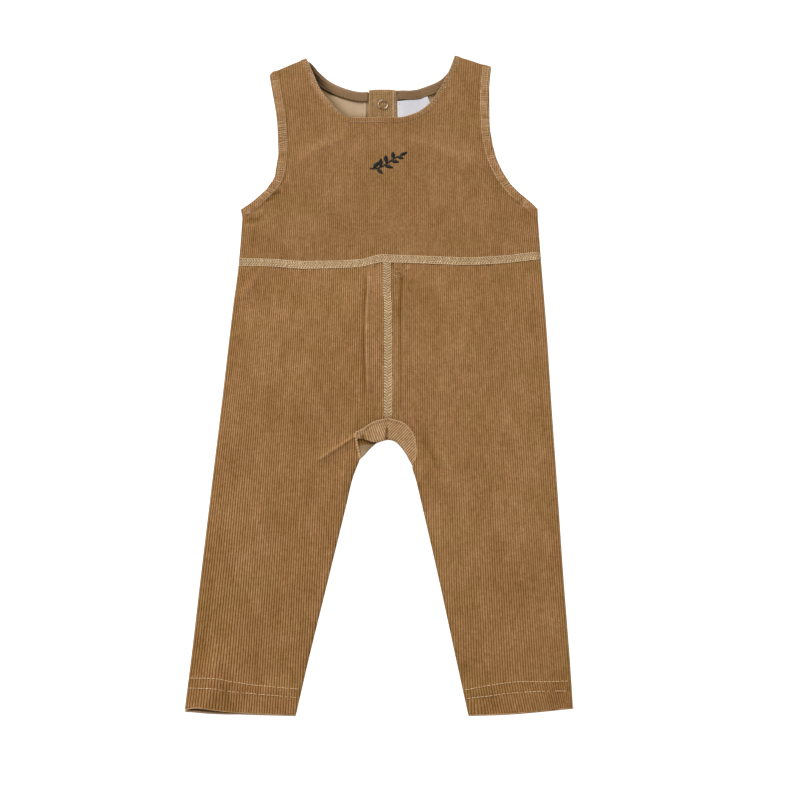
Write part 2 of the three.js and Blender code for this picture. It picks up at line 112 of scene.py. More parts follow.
INNER = [
    (70, 0.3, 0.3), (36, 0.3, 0.3), (12, 1.3, 1.3), (-83.6, SEAM_X, SEAM_X), (-84.7, -2.4, 5.2), (-87.2, -10.2, 13.3),
    (-91.6, -16.3, 18.1), (-97.0, -24.0, 21.6), (-103, -22.9, 23.6), (-110.5, -21.3, 24.1), (-117.8, -19.9, 23.4),
    (-121.5, -21.3, 20.6), (-134, -25.3, 23.7), (-152, -28.9, 27.6), (-209, -40.8, 39.7), (-264, -52.4, 50.6),
    (-300, -59.4, 57.9),
]
FOLDS = [
    (-14.5, 60, -15.8, -56, 4.5, 0.8), (12.5, 44, 10.5, -70, 4.5, 0.8), (-106.5, 54, -125, 24, 7, 0.7),
    (-80, 171, -44, 195, 8, 0.6), (17, 195, 76, 171, 8, 0.6), (-24, -100, -48, -117, 4, 0.9),
    (37, -104, 46, -128, 6, -0.5), (50, -92, 88, -150, 10, 0.6), (-122, -296, -118, -272, 12, 2.2),
    (-8, 220, 30, 223, 17, 1.2),
]

# ---------------------------------------------------------------- small mathematics


def clamp01(t):
    return np.clip(t, 0.0, 1.0)


def ease(a, b, t):
    s = clamp01((np.asarray(t, float) - a) / (b - a))
    return s * s * (3 - 2 * s)


def lerp(a, b, t):
    return a + (b - a) * t


def reader(pairs):
    """A monotone cubic through the pairs, the same curve as the construction's."""
    pairs = sorted(pairs)
    t = np.array([p[0] for p in pairs], float)
    v = np.array([p[1] for p in pairs], float)
    d = np.diff(v) / np.diff(t)
    m = np.empty_like(t)
    m[0], m[-1] = d[0], d[-1]
    for i in range(1, len(t) - 1):
        m[i] = 0.0 if d[i - 1] * d[i] <= 0 else 2 * d[i - 1] * d[i] / (d[i - 1] + d[i])

    def read(x):
        x = np.asarray(x, float)
        i = np.clip(np.searchsorted(t, x, side="right") - 1, 0, len(t) - 2)
        h = t[i + 1] - t[i]
        s = clamp01((x - t[i]) / h)
        return (
            v[i] * (1 + 2 * s) * (1 - s) ** 2
            + h * m[i] * s * (1 - s) ** 2
            + v[i + 1] * s * s * (3 - 2 * s)
            + h * m[i + 1] * s * s * (s - 1)
        )

    return read


def inverse(read, lo, hi, steps=1200):
    """The argument at which a monotone reader has a value, between two arguments."""
    t = np.linspace(lo, hi, steps)
    v = read(t)
    order = np.argsort(v, kind="stable")
    return lambda x: np.interp(x, v[order], t[order])


side_left = reader([(y, a) for y, a, _ in SIDES])
side_right = reader([(y, b) for y, _, b in SIDES])
armhole_left = reader(ARMHOLE_LEFT)
armhole_right = reader(ARMHOLE_RIGHT)
waist = reader(WAIST)
inner_right = reader([(y, a) for y, a, _ in INNER])
inner_left = reader([(y, b) for y, _, b in INNER])
neck_front = reader(NECK_FRONT)
neck_back = reader(NECK_BACK)
_hem_front_right = reader([(x, f) for x, f, _ in HEM_RIGHT_LEG])
_hem_back_right = reader([(x, b) for x, _, b in HEM_RIGHT_LEG])


def hem_droop(x):
    """The right leg's outer hem corner hangs a little lower than the rest of the hem."""
    return np.interp(x, [-134.5, -131.5, -128.0, -118.0, -108.0, -98.0], [2.3, 1.8, 1.3, 1.1, 0.7, 0.0])


def hem_front_right(x):
    return _hem_front_right(x) - hem_droop(x)


def hem_back_right(x):
    return _hem_back_right(x) - hem_droop(x)


hem_front_left = reader([(x, f) for x, f, _ in HEM_LEFT_LEG])
hem_back_left = reader([(x, b) for x, _, b in HEM_LEFT_LEG])
_W0, _W1 = float(waist(-129)), float(waist(134))


def back_waist(x):
    return lerp(_W0, _W1, (np.asarray(x, float) + 129) / 263)


def shoulder(x):
    return np.interp(x, [p[0] for p in SHOULDER], [p[1] for p in SHOULDER])


# lattice noise, smooth and seeded by its lattice points alone
def _hash(ix, iy, seed):
    with np.errstate(over="ignore"):
        h = (ix.astype(np.int64) * 374761393 + iy.astype(np.int64) * 668265263 + seed * 982451653) & 0xFFFFFFFF
        h = ((h ^ (h >> 13)) * 1274126177) & 0xFFFFFFFF
        h = h ^ (h >> 16)
    return (h & 0xFFFFFF) / float(0xFFFFFF)


def noise(x, y, seed=0):
    x, y = np.broadcast_arrays(np.asarray(x, float), np.asarray(y, float))
    fx, fy = np.floor(x), np.floor(y)
    tx, ty = x - fx, y - fy
    tx, ty = tx * tx * tx * (tx * (tx * 6 - 15) + 10), ty * ty * ty * (ty * (ty * 6 - 15) + 10)
    ix, iy = fx.astype(np.int64), fy.astype(np.int64)
    a, b = _hash(ix, iy, seed), _hash(ix + 1, iy, seed)
    c, d = _hash(ix, iy + 1, seed), _hash(ix + 1, iy + 1, seed)
    return 2 * lerp(lerp(a, b, tx), lerp(c, d, tx), ty) - 1


# ---------------------------------------------------------------- heights


def segment_distance(x, y, x0, y0, x1, y1):
    dx, dy = x1 - x0, y1 - y0
    s = clamp01(((x - x0) * dx + (y - y0) * dy) / (dx * dx + dy * dy))
    return np.hypot(x - (x0 + s * dx), y - (y0 + s * dy)), s


def folds(x, y):
    z = 0.0
    for x0, y0, x1, y1, reach, height in FOLDS:
        d, _ = segment_distance(x, y, x0, y0, x1, y1)
        z = z + height * np.exp(-((d / reach) ** 2))
    return z


def front_under(x, y):
    x, y = np.broadcast_arrays(np.asarray(x, float), np.asarray(y, float))
    parting = ease(0, -105, y)
    body = 1 - np.minimum(1, np.abs((x - BODY_MID) / BODY_HALF)) ** 3
    on_right = x < BODY_MID
    outer = np.where(on_right, side_left(y), side_right(y))
    inner = np.where(on_right, inner_right(y), inner_left(y))
    across = np.minimum(1, np.abs(2 * (x - outer) / (inner - outer) - 1))
    leg = 1 - across**3
    return LAYER + np.maximum(0, lerp(BODY_CROWN * body, LEG_CROWN * leg, parting) + folds(x, y))


def neck_lift(x, y):
    return NECK_LIFT * ease(NECK_LIFT_FROM, NECK_LIFT_TO, y) * (1 - ease(28, 68, np.abs(x - SNAP_X)))


def snap_rise(y):
    return SNAP_HEIGHT * 1.5 * ease(64, 76, y)


def outer_band_under(x, y):
    return snap_rise(y) + neck_lift(x, y)


def inner_band_under(x, y):
    return outer_band_under(x, y) + LAYER


def back_right_under(x, y):
    return neck_lift(x, y) + snap_rise(y) * ease(-28, BAND_LEFT + BAND_SHIFT, x)


def back_left_under(x, y):
    return neck_lift(x, y) + (snap_rise(y) + LAYER) * ease(32, 12, x)


# Creases of the front, finer than the construction's: points, reach on the left and on the right of the line as it
# runs, height over 0 for a ridge or under 0 for a trough, and how sharply it fades at its two ends.
CREASES = [
    # the raised strip round the centre seam
    ([(-17.4, 57), (-17.4, 32.2), (-18.3, 12.8), (-18.5, -1.4), (-18.1, -20), (-16.7, -51.6), (-15.6, -75)], 0.9, 2.2, -0.55, 0.12),
    ([(-15.2, 55), (-15.4, 32.2), (-16.3, 12.8), (-16.5, -1.4), (-16.1, -20), (-14.7, -51.6), (-13.8, -66)], 2.2, 1.0, 0.5, 0.15),
    ([(13.4, 57), (13.1, 42.1), (12.7, 32.2), (12.2, 22.5), (11.8, 3.3), (12.6, -20), (12.2, -51.6), (11.8, -90)], 1.1, 1.5, -0.5, 0.1),
    ([(9.6, 52), (10.6, 30), (9.6, -10), (9.2, -60)], 1.3, 2.4, 0.36, 0.25),
    ([(15.6, 38), (15.4, -10), (15.0, -84)], 2.0, 4.2, 0.3, 0.2),
    # by the gusset
    ([(-22.4, -97.2), (-32.6, -105.2), (-42.6, -112.2), (-53.1, -120.1)], 1.8, 1.2, 0.5, 0.1),
    ([(-22.6, -100.2), (-32.0, -107.8), (-42.0, -114.8), (-50.0, -120.8)], 1.2, 2.4, -0.12, 0.15),
    ([(29.5, -97), (33.0, -108), (38.0, -120), (44.5, -133)], 2.6, 2.2, -0.5, 0.2),
    ([(26.2, -106), (28.2, -118), (29.0, -134)], 2.0, 1.6, 0.5, 0.25),
    ([(38.5, -99), (43.0, -112), (52.0, -131)], 2.4, 3.4, 0.42, 0.25),
    ([(-29.5, -112), (-31.6, -133), (-34.5, -158)], 1.8, 2.4, 0.4, 0.25),
    # hips and sides
    ([(-104, 57), (-113, 42), (-125.5, 21)], 2.2, 4.5, 0.5, 0.2),
    ([(-108, 57), (-118, 46), (-127.5, 33)], 3.0, 3.0, -0.4, 0.25),
    ([(124.6, 56), (125.2, 10), (124.9, -50), (124.0, -112)], 0.7, 0.7, -0.34, 0.1),
    ([(-124.0, 40), (-125.0, -20), (-126.2, -90)], 1.6, 1.8, -0.28, 0.2),
    # drags over the chest
    ([(-84, 168), (-62, 184), (-40, 196)], 4.5, 3.0, 0.3, 0.25),
    ([(13, 196), (45, 186), (79, 169)], 3.4, 4.2, 0.32, 0.25),
    ([(30, 176), (58, 165), (84, 149)], 3.0, 5.0, 0.22, 0.3),
    ([(-96, 139), (-86, 128), (-79, 110)], 3.5, 3.0, -0.3, 0.3),
    ([(-118, 112), (-116, 92), (-115, 66)], 3.0, 3.6, -0.34, 0.25),
    ([(108, 132), (99, 120), (92, 100)], 3.0, 3.6, -0.26, 0.3),
    # lower legs
    ([(-105.0, -301), (-106.0, -284), (-112.0, -262), (-118.0, -238)], 2.6, 2.2, -0.34, 0.12),
    ([(-118.5, -300), (-117.5, -280), (-116.0, -250)], 3.2, 3.4, 0.35, 0.15),
    ([(-126.0, -276), (-124.5, -240), (-122.0, -190)], 2.6, 3.0, -0.35, 0.25),
    ([(-66, -150), (-72, -190), (-80, -236)], 6.0, 5.0, -0.3, 0.35),
    ([(-92, -128), (-96, -180), (-97, -224)], 5.0, 6.0, 0.24, 0.35),
    ([(74, -140), (84, -186), (93, -238)], 5.0, 6.0, -0.32, 0.35),
    ([(96, -120), (104, -176), (106, -214)], 6.0, 5.0, 0.25, 0.35),
    ([(120, -250), (118, -276), (117, -301)], 2.6, 3.4, -0.4, 0.2),
]
# Small puckers: place, reach along and across, turn in degrees, height.
DIMPLES = [
    (4.9, 56.8, 2.4, 1.0, 80, -0.9), (14.6, 55.4, 1.9, 0.9, 30, -0.8), (10.6, 47.6, 3.4, 1.0, 140, -0.9),
    (7.6, 53.0, 2.2, 1.6, 60, 0.6), (6.4, 45.5, 2.6, 1.2, 110, 0.55), (18.5, 53.0, 1.7, 1.2, 10, 0.5), (13.4, 42.5, 2.2, 1.1, 80, -0.6),
    (22.5, 40.5, 4.6, 1.0, 6, -0.5), (31, 38.5, 5.0, 1.1, -8, 0.42), (28, 47.5, 4.5, 1.2, -10, -0.4), (24, 35.5, 3.0, 1.2, 20, 0.3),
    (-9.5, 55.0, 2.8, 1.2, 80, -0.35), (20.0, 55.5, 2.4, 1.4, 10, 0.4), (3.9, -92.0, 3.4, 0.9, 78, -0.3),
    (-61, 52.0, 3.0, 1.0, 85, -0.25), (57, 54.5, 3.0, 1.0, 85, -0.25), (88, 56.0, 3.0, 1.2, 70, -0.28),
    (-88, 53.0, 3.0, 1.2, 100, -0.28),
]


def crease_field(x, y, rows, gain=1.35):
    z = np.zeros(np.shape(x))
    for pts, left, right, height, fade in rows:
        p = np.array(pts, float)
        lo, hi = p.min(0) - 16, p.max(0) + 16
        near = (x > lo[0]) & (x < hi[0]) & (y > lo[1]) & (y < hi[1])
        if not near.any():
            continue
        xs, ys = x[near], y[near]
        seg = np.hypot(*(p[1:] - p[:-1]).T)
        total = seg.sum()
        best = np.full(xs.shape, 1e9)
        along = np.zeros(xs.shape)
        sign = np.zeros(xs.shape)
        run = 0.0
        for i in range(len(p) - 1):
            d, s = segment_distance(xs, ys, p[i, 0], p[i, 1], p[i + 1, 0], p[i + 1, 1])
            cross = (p[i + 1, 0] - p[i, 0]) * (ys - p[i, 1]) - (p[i + 1, 1] - p[i, 1]) * (xs - p[i, 0])
            take = d < best
            best = np.where(take, d, best)
            along = np.where(take, (run + s * seg[i]) / total, along)
            sign = np.where(take, cross, sign)
            run += seg[i]
        reach = np.where(sign > 0, left, right)
        ends = ease(0, fade, along) * ease(1, 1 - fade, along)
        wobble = 1 + 0.3 * noise(along * total / 17.0, p[0, 0], 5)
        z[near] += gain * height * wobble * ends * np.exp(-((best / reach) ** 2))
    return z


def dimple_field(x, y):
    z = np.zeros(np.shape(x))
    for px, py, ra, rb, turn, h in DIMPLES:
        a = math.radians(turn)
        u = (x - px) * math.cos(a) + (y - py) * math.sin(a)
        v = -(x - px) * math.sin(a) + (y - py) * math.cos(a)
        z += h * np.exp(-((u / ra) ** 2) - (v / rb) ** 2)
    return z


def calm(x, y):
    """0 along the outline of the front, where its layers meet, and 1 a little way in."""
    outer = np.minimum(x - side_left(y), side_right(y) - x)
    return ease(0, 7, outer)


def relief(x, y):
    """Soft unevenness of the front cloth over the construction's shape."""
    x, y = np.broadcast_arrays(np.asarray(x, float), np.asarray(y, float))
    x, y = x.copy(), y.copy()
    z = crease_field(x, y, CREASES) + dimple_field(x, y)
    z += (0.20 * noise(x / 46 + 3.1, y / 62, 1) + 0.10 * noise(x / 17, y / 38 + 7.7, 2)) * calm(x, y)
    z += 0.05 * noise(x / 6.0, y / 19, 3)
    return z


def front_base(x, y):
    """Underside of the front cloth as it is shown."""
    return np.maximum(front_under(x, y) + relief(x, y), LAYER - 0.05)


def front_top(x, y):
    return front_base(x, y) + CLOTH


# ---------------------------------------------------------------- distances to curves


# The two stitch rows over each hem, from the lower one up, and how high they lie over the hem's edge.
HEM_ROWS = (11.9, 17.6)
HEM_LINES = {
    True: (
        [(-135.0, -282.5), (-132.4, -282.6), (-116.7, -283.1), (-103.2, -285.0), (-82.7, -286.6), (-59.6, -288.5), (-54.0, -288.9)],
        [(-135.0, -276.2), (-131.7, -276.3), (-117.3, -276.5), (-103.8, -278.6), (-83.1, -281.2), (-57.2, -283.2), (-53.0, -283.5)],
    ),
    False: (
        [(53.0, -290.0), (57.4, -289.3), (72.8, -287.4), (86.4, -285.7), (93.3, -285.2), (112.5, -284.6), (128.5, -284.4), (131.0, -284.3)],
        [(51.0, -284.6), (56.6, -283.7), (73.1, -280.8), (86.8, -279.0), (97.0, -278.5), (113.0, -278.6), (128.0, -278.1), (131.0, -278.1)],
    ),
}


def curve_distance(curve, x, y, reach):
    """Distance to a polyline and the length along it, for points nearer than reach; 1e3 elsewhere."""
    curve = np.asarray(curve, float)
    flat_x, flat_y = np.ravel(x), np.ravel(y)
    best = np.full(flat_x.shape, 1e3)
    along = np.zeros(flat_x.shape)
    seg = np.hypot(*(curve[1:] - curve[:-1]).T)
    run = np.concatenate([[0], np.cumsum(seg)])
    step = 12
    for i0 in range(0, len(seg), step):
        i1 = min(len(seg), i0 + step)
        part = curve[i0 : i1 + 1]
        lo, hi = part.min(0) - reach, part.max(0) + reach
        k = np.flatnonzero((flat_x > lo[0]) & (flat_x < hi[0]) & (flat_y > lo[1]) & (flat_y < hi[1]))
        if not len(k):
            continue
        for i in range(i0, i1):
            if seg[i] < 1e-9:
                continue
            d, s = segment_distance(flat_x[k], flat_y[k], *curve[i], *curve[i + 1])
            take = d < best[k]
            kk = k[take]
            best[kk] = d[take]
            along[kk] = run[i] + s[take] * seg[i]
    return best.reshape(np.shape(x)), along.reshape(np.shape(x))


def offset_curve(curve, distance):
    """The polyline moved sideways to its left by a distance."""
    c = np.asarray(curve, float)
    t = np.gradient(c, axis=0)
    t /= np.maximum(np.hypot(*t.T)[:, None], 1e-9)
    return c + np.stack([-t[:, 1], t[:, 0]], 1) * distance


def resample(curve, pitch):
    c = np.asarray(curve, float)
    run = np.concatenate([[0], np.cumsum(np.hypot(*(c[1:] - c[:-1]).T))])
    n = max(2, int(round(run[-1] / pitch)) + 1)
    s = np.linspace(0, run[-1], n)
    return np.stack([np.interp(s, run, c[:, k]) for k in range(c.shape[1])], 1)


_y = np.linspace(117.5, 276.2, 260)
CURVE_ARM_LEFT = np.stack([armhole_left(_y), _y], 1)
_y = np.linspace(117.5, 287.2, 260)
CURVE_ARM_RIGHT = np.stack([armhole_right(_y), _y], 1)
_x = 0.5 * (65.6 - 81.0) - 0.5 * (65.6 + 81.0) * np.cos(np.linspace(0, math.pi, 260))
CURVE_NECK_FRONT = np.stack([_x, neck_front(_x)], 1)
CURVE_NECK_BACK = np.stack([_x, neck_back(_x)], 1)

# ---------------------------------------------------------------- meshes


class Parts:
    """Faces of any size, with their material, a cord map and a bake map, gathered into one mesh."""

    def __init__(self):
        self.co, self.sizes, self.index, self.mat, self.uv, self.bake = [], [], [], [], [], []
        self.tone = []
        self.count = 0

    def points(self, co, uv=None, tone=None):
        co = np.asarray(co, float).reshape(-1, 3)
        first = self.count
        self.co.append(co)
        self.uv.append(np.zeros((len(co), 2)) if uv is None else np.asarray(uv, float).reshape(-1, 2))
        self.tone.append(np.zeros(len(co)) if tone is None else np.broadcast_to(np.asarray(tone, float), (len(co),)))
        self.count += len(co)
        return first

    def faces(self, index, mat=0, bake=None):
        """index is an array (faces, corners); bake gives each corner's place on the bake map."""
        index = np.asarray(index, np.int64)
        if not index.size:
            return
        self.sizes.append(np.full(len(index), index.shape[1], np.int32))
        self.index.append(index.ravel())
        self.mat.append(np.full(len(index), mat, np.int32))
        self.bake.append(None if bake is None else np.asarray(bake, float).reshape(-1, 2))

    def build(self, name, materials, smooth=True):
        mesh = bpy.data.meshes.new(name)
        co = np.concatenate(self.co) * MM
        sizes = np.concatenate(self.sizes)
        index = np.concatenate(self.index).astype(np.int32)
        start = np.concatenate([[0], np.cumsum(sizes)[:-1]]).astype(np.int32)
        mesh.vertices.add(len(co))
        mesh.vertices.foreach_set("co", co.astype(np.float32).ravel())
        mesh.loops.add(len(index))
        mesh.loops.foreach_set("vertex_index", index)
        mesh.polygons.add(len(sizes))
        mesh.polygons.foreach_set("loop_start", start)
        mesh.polygons.foreach_set("loop_total", sizes.astype(np.int32))
        mesh.polygons.foreach_set("material_index", np.concatenate(self.mat))
        mesh.polygons.foreach_set("use_smooth", np.full(len(sizes), smooth))
        mesh.update(calc_edges=True)
        cord = mesh.uv_layers.new(name="Cord")
        cord.data.foreach_set("uv", np.concatenate(self.uv)[index].astype(np.float32).ravel())
        if all(b is not None for b in self.bake):
            bake = mesh.uv_layers.new(name="OFBake")
            bake.data.foreach_set("uv", np.concatenate(self.bake).astype(np.float32).ravel())
        tone = mesh.attributes.new("tone", "FLOAT", "POINT")
        tone.data.foreach_set("value", np.concatenate(self.tone).astype(np.float32))
        for m in materials:
            mesh.materials.append(m)
        if mesh.validate(verbose=False):
            print("mesh", name, "was mended by validate()")
        obj = bpy.data.objects.new(name, mesh)
        bpy.context.scene.collection.objects.link(obj)
        return obj


def weld(blocks):
    """Joins grids of cells. A block is (x, y, keep): rows run up in y, columns up in x, and keep marks the columns that the plain face has too."""
    pts, quads, plain = [], [], []
    base = 0
    for x, y, keep in blocks:
        r, c = x.shape
        ids = base + np.arange(r * c).reshape(r, c)
        pts.append(np.stack([x.ravel(), y.ravel()], 1))
        quads.append(np.stack([ids[:-1, :-1], ids[:-1, 1:], ids[1:, 1:], ids[1:, :-1]], -1).reshape(-1, 4))
        k = ids[:, np.flatnonzero(keep)]
        plain.append(np.stack([k[:-1, :-1], k[:-1, 1:], k[1:, 1:], k[1:, :-1]], -1).reshape(-1, 4))
        base += r * c
    p = np.concatenate(pts)
    key = np.round(p * 4000).astype(np.int64)
    _, first, back = np.unique(key, axis=0, return_index=True, return_inverse=True)
    back = back.ravel()
    return p[first], back[np.concatenate(quads)], back[np.concatenate(plain)]


def boundary_loops(quads):
    """Closed chains of the directed edges that only one face has."""
    e = np.concatenate([quads[:, [0, 1]], quads[:, [1, 2]], quads[:, [2, 3]], quads[:, [3, 0]]])
    big = int(quads.max()) + 1
    code, twin = e[:, 0] * big + e[:, 1], e[:, 1] * big + e[:, 0]
    free = e[~np.isin(code, twin)]
    after = {int(a): int(b) for a, b in free}
    loops = []
    while after:
        start = next(iter(after))
        chain, at = [start], after.pop(start)
        while at != start:
            chain.append(at)
            at = after.pop(at)
        loops.append(chain)
    return loops


def closed_panel(parts, quads, plain, outer, inner, cord_outer, cord_inner, tone, flip, mats, plane, tone_inner=None):
    """One closed piece of cloth: a detailed face with quads, a plain face with fewer, and rims between them.
    plane is each point's place on the piece laid flat, for the bake map; tone_inner is the inner face's own tone."""
    n = len(outer)
    used = np.unique(plain)
    to = np.full(n, -1)
    first = parts.points(outer, cord_outer, tone)
    second = parts.points(inner[used], cord_inner[used], (tone if tone_inner is None else tone_inner)[used])
    to[used] = second + np.arange(len(used))
    lo, hi = plane.min(0), plane.max(0)
    size = hi - lo
    turned = size[0] > size[1]
    share = (plane - lo) / size
    if turned:
        share = share[:, ::-1] * np.array([1.0, 1.0])
    # the detailed face takes the left two thirds of the map, the plain one the rest, the rims the strips under it
    split = 0.70
    a = np.stack([0.004 + share[:, 0] * (split - 0.012), 0.004 + share[:, 1] * 0.992], 1)
    b = np.stack([split + 0.004 + share[:, 0] * (1 - split - 0.008), 0.30 + share[:, 1] * 0.696], 1)
    if flip:
        parts.faces(quads[:, ::-1] + first, mats[0], a[quads[:, ::-1]])
        parts.faces(to[plain], mats[1], b[plain])
    else:
        parts.faces(quads + first, mats[0], a[quads])
        parts.faces(to[plain[:, ::-1]], mats[1], b[plain[:, ::-1]])
    isin = np.zeros(n, bool)
    isin[used] = True
    rows = []
    for chain in boundary_loops(quads):
        k = next(i for i, v in enumerate(chain) if isin[v])
        chain = chain[k:] + chain[:k] + [chain[k]]
        group = [chain[0]]
        for v in chain[1:]:
            group.append(v)
            if isin[v]:
                rows.append(group)
                group = [v]
    # places for the rims on the bake map: rows of short strips
    lane, at, lanes = 0.0, 0.0, []
    total = 0.0
    lengths = []
    for g in rows:
        p = outer[g]
        length = float(np.linalg.norm(p[1:] - p[:-1], axis=1).sum())
        lengths.append(max(length, 0.05))
        total += lengths[-1]
    wide, tall = 1 - split - 0.012, 0.285
    n_lanes = 12
    per_lane = total / (n_lanes - 1.0)
    height = tall / n_lanes
    by_size = {}
    for g, length in zip(rows, lengths):
        if at + length > per_lane:
            lane, at = lane + 1, 0.0
        x0 = split + 0.006 + wide * at / per_lane
        x1 = split + 0.006 + wide * (at + length) / per_lane
        y0 = 0.004 + lane * height
        y1 = y0 + height * 0.8
        at += length
        m = len(g)
        steps = np.linspace(x0, x1, m)
        index = [v + first for v in g[::-1]] + [to[g[0]], to[g[-1]]]
        places = [(s, y1) for s in steps[::-1]] + [(x0, y0), (x1, y0)]
        if flip:
            index, places = index[::-1], places[::-1]
        by_size.setdefault(len(index), []).append((index, places))
    for items in by_size.values():
        parts.faces(np.array([i for i, _ in items]), mats[2], np.array([p for _, p in items]))


def round_off(d, radius):
    """How far a rounded edge of that radius lies below the face, at distance d in from the edge."""
    t = np.clip(1 - d / radius, 0, 1)
    return radius * (1 - np.sqrt(1 - t * t * 0.9999))


def rib(u):
    """Height of the cord, 0 in a groove and 1 on a wale; u counts wales."""
    return np.abs(np.sin(math.pi * u)) ** 0.62


PHASES = (0.0, 0.24, 0.5, 0.76)


def wale_columns(start, stop, wales, first_edge=False, last_edge=False):
    """Columns of a run of whole wales: their place, their count of wales from the start, and whether the plain face has them."""
    u, keep = [], []
    for w in range(wales):
        for p in PHASES:
            u.append(w + p)
            keep.append(p == 0.0)
        if first_edge and w == 0:
            u += [0.07]
            keep += [False]
        if last_edge and w == wales - 1:
            u += [wales - 0.07]
            keep += [False]
    u.append(wales)
    keep.append(True)
    order = np.argsort(u)
    u, keep = np.array(u)[order], np.array(keep)[order]
    return lerp(start, stop, u / wales), u, keep


EDGE_STEPS = (0.0, 0.14, 0.42, 0.85, 1.5)


def spread_rows(y0, y1, slope0, slope1, middle, start_edge=True, end_edge=True, skew=1.0):
    """Rows of every column from y0 up to y1, close together at the two ends."""
    span = np.maximum(y1 - y0, 1e-6)
    k0 = np.minimum(np.sqrt(1 + slope0**2), 7)
    k1 = np.minimum(np.sqrt(1 + slope1**2), 7)
    rows = []
    most = EDGE_STEPS[-1]
    scale0 = np.minimum(1, 0.3 * span / (most * k0))
    scale1 = np.minimum(1, 0.3 * span / (most * k1))
    if start_edge:
        for e in EDGE_STEPS:
            rows.append(y0 + e * k0 * scale0)
        a = y0 + most * k0 * scale0
    else:
        rows.append(y0)
        a = y0
    b = y1 - most * k1 * scale1 if end_edge else y1
    for t in np.linspace(0, 1, middle + 2)[1:-1] ** skew:
        rows.append(lerp(a, b, t))
    if end_edge:
        for e in EDGE_STEPS[::-1]:
            rows.append(y1 - e * k1 * scale1)
    else:
        rows.append(y1)
    return np.array(rows)


def slopes(x, y):
    return np.gradient(y, x)


# ---------------------------------------------------------------- tubes and threads


def tubes(parts, paths, radius, sides=5, mat=0, up=(0, 0, 1), flat=1.0, twist=0.7, tone=0.0):
    """Round threads. paths is (threads, points, 3); radius one number, or one for each point."""
    p = np.asarray(paths, float)
    if p.ndim == 2:
        p = p[None]
    k, m, _ = p.shape
    r = np.broadcast_to(np.asarray(radius, float), (k, m))
    t = np.gradient(p, axis=1)
    t /= np.maximum(np.linalg.norm(t, axis=2, keepdims=True), 1e-9)
    upv = np.broadcast_to(np.asarray(up, float), t.shape)
    s = np.cross(t, upv)
    norm = np.linalg.norm(s, axis=2, keepdims=True)
    s = np.where(norm > 1e-4, s / np.maximum(norm, 1e-9), np.array([1.0, 0, 0]))
    w = np.cross(s, t)
    ang = 2 * math.pi * np.arange(sides) / sides
    ring = (
        p[:, :, None]
        + s[:, :, None] * (np.cos(ang)[None, None, :, None] * r[:, :, None, None])
        + w[:, :, None] * (np.sin(ang)[None, None, :, None] * r[:, :, None, None] * flat)
    )
    length = np.concatenate([np.zeros((k, 1)), np.cumsum(np.linalg.norm(p[:, 1:] - p[:, :-1], axis=2), axis=1)], 1)
    uv = np.stack(
        [
            np.broadcast_to(length[:, :, None] * twist, (k, m, sides)),
            np.broadcast_to(np.arange(sides)[None, None] / sides, (k, m, sides)),
        ],
        -1,
    )
    first = parts.points(ring, uv, tone)
    ids = first + np.arange(k * m * sides).reshape(k, m, sides)
    nxt = np.roll(ids, -1, axis=2)
    quads = np.stack([ids[:, :-1], ids[:, 1:], nxt[:, 1:], nxt[:, :-1]], -1).reshape(-1, 4)
    # the frame (s, w, t) is right-handed, so this order faces out
    parts.faces(quads[:, ::-1], mat)
    parts.faces(ids[:, 0][:, ::-1], mat)
    parts.faces(ids[:, -1], mat)


def stitches(curve, pitch, length, height, radius, sunk=0.15, jitter=0.0, seed=0, skip=0.0, lift=1.0):
    """Paths of single running stitches along a flat curve, each one a low arch that dives into the cloth at its ends."""
    c = np.asarray(curve, float)
    run = np.concatenate([[0], np.cumsum(np.hypot(*(c[1:] - c[:-1]).T))])
    starts = np.arange(0.4, run[-1] - length, pitch)
    i = np.arange(len(starts))
    rnd = noise(i * 1.37 + 0.5, i * 0.71 + seed, seed + 11)
    rnd2 = noise(i * 0.93 + 4.5, i * 1.31 + seed, seed + 23)
    keep = (rnd2 * 0.5 + 0.5) >= skip
    starts = (starts + jitter * rnd)[keep]
    rnd, rnd2 = rnd[keep], rnd2[keep]
    t = np.linspace(0, 1, 6)
    s = starts[:, None] + t[None] * length * (1 + 0.12 * rnd2[:, None])
    x, y = np.interp(s, run, c[:, 0]), np.interp(s, run, c[:, 1])
    hump = np.sin(math.pi * np.clip(t, 0, 1)) ** 0.5
    z = height(x, y) + radius * (lift * (0.9 + 0.3 * rnd[:, None]) * hump[None] - 0.2) - sunk * (1 - hump[None]) * 2.2
    return np.stack([x, y, z], -1)


# ---------------------------------------------------------------- materials


def new_material(name):
    m = bpy.data.materials.new(name)
    m.use_nodes = True
    nt = m.node_tree
    nt.nodes.clear()
    out = nt.nodes.new("ShaderNodeOutputMaterial")
    bsdf = nt.nodes.new("ShaderNodeBsdfPrincipled")
    nt.links.new(bsdf.outputs[0], out.inputs[0])
    return m, nt, bsdf


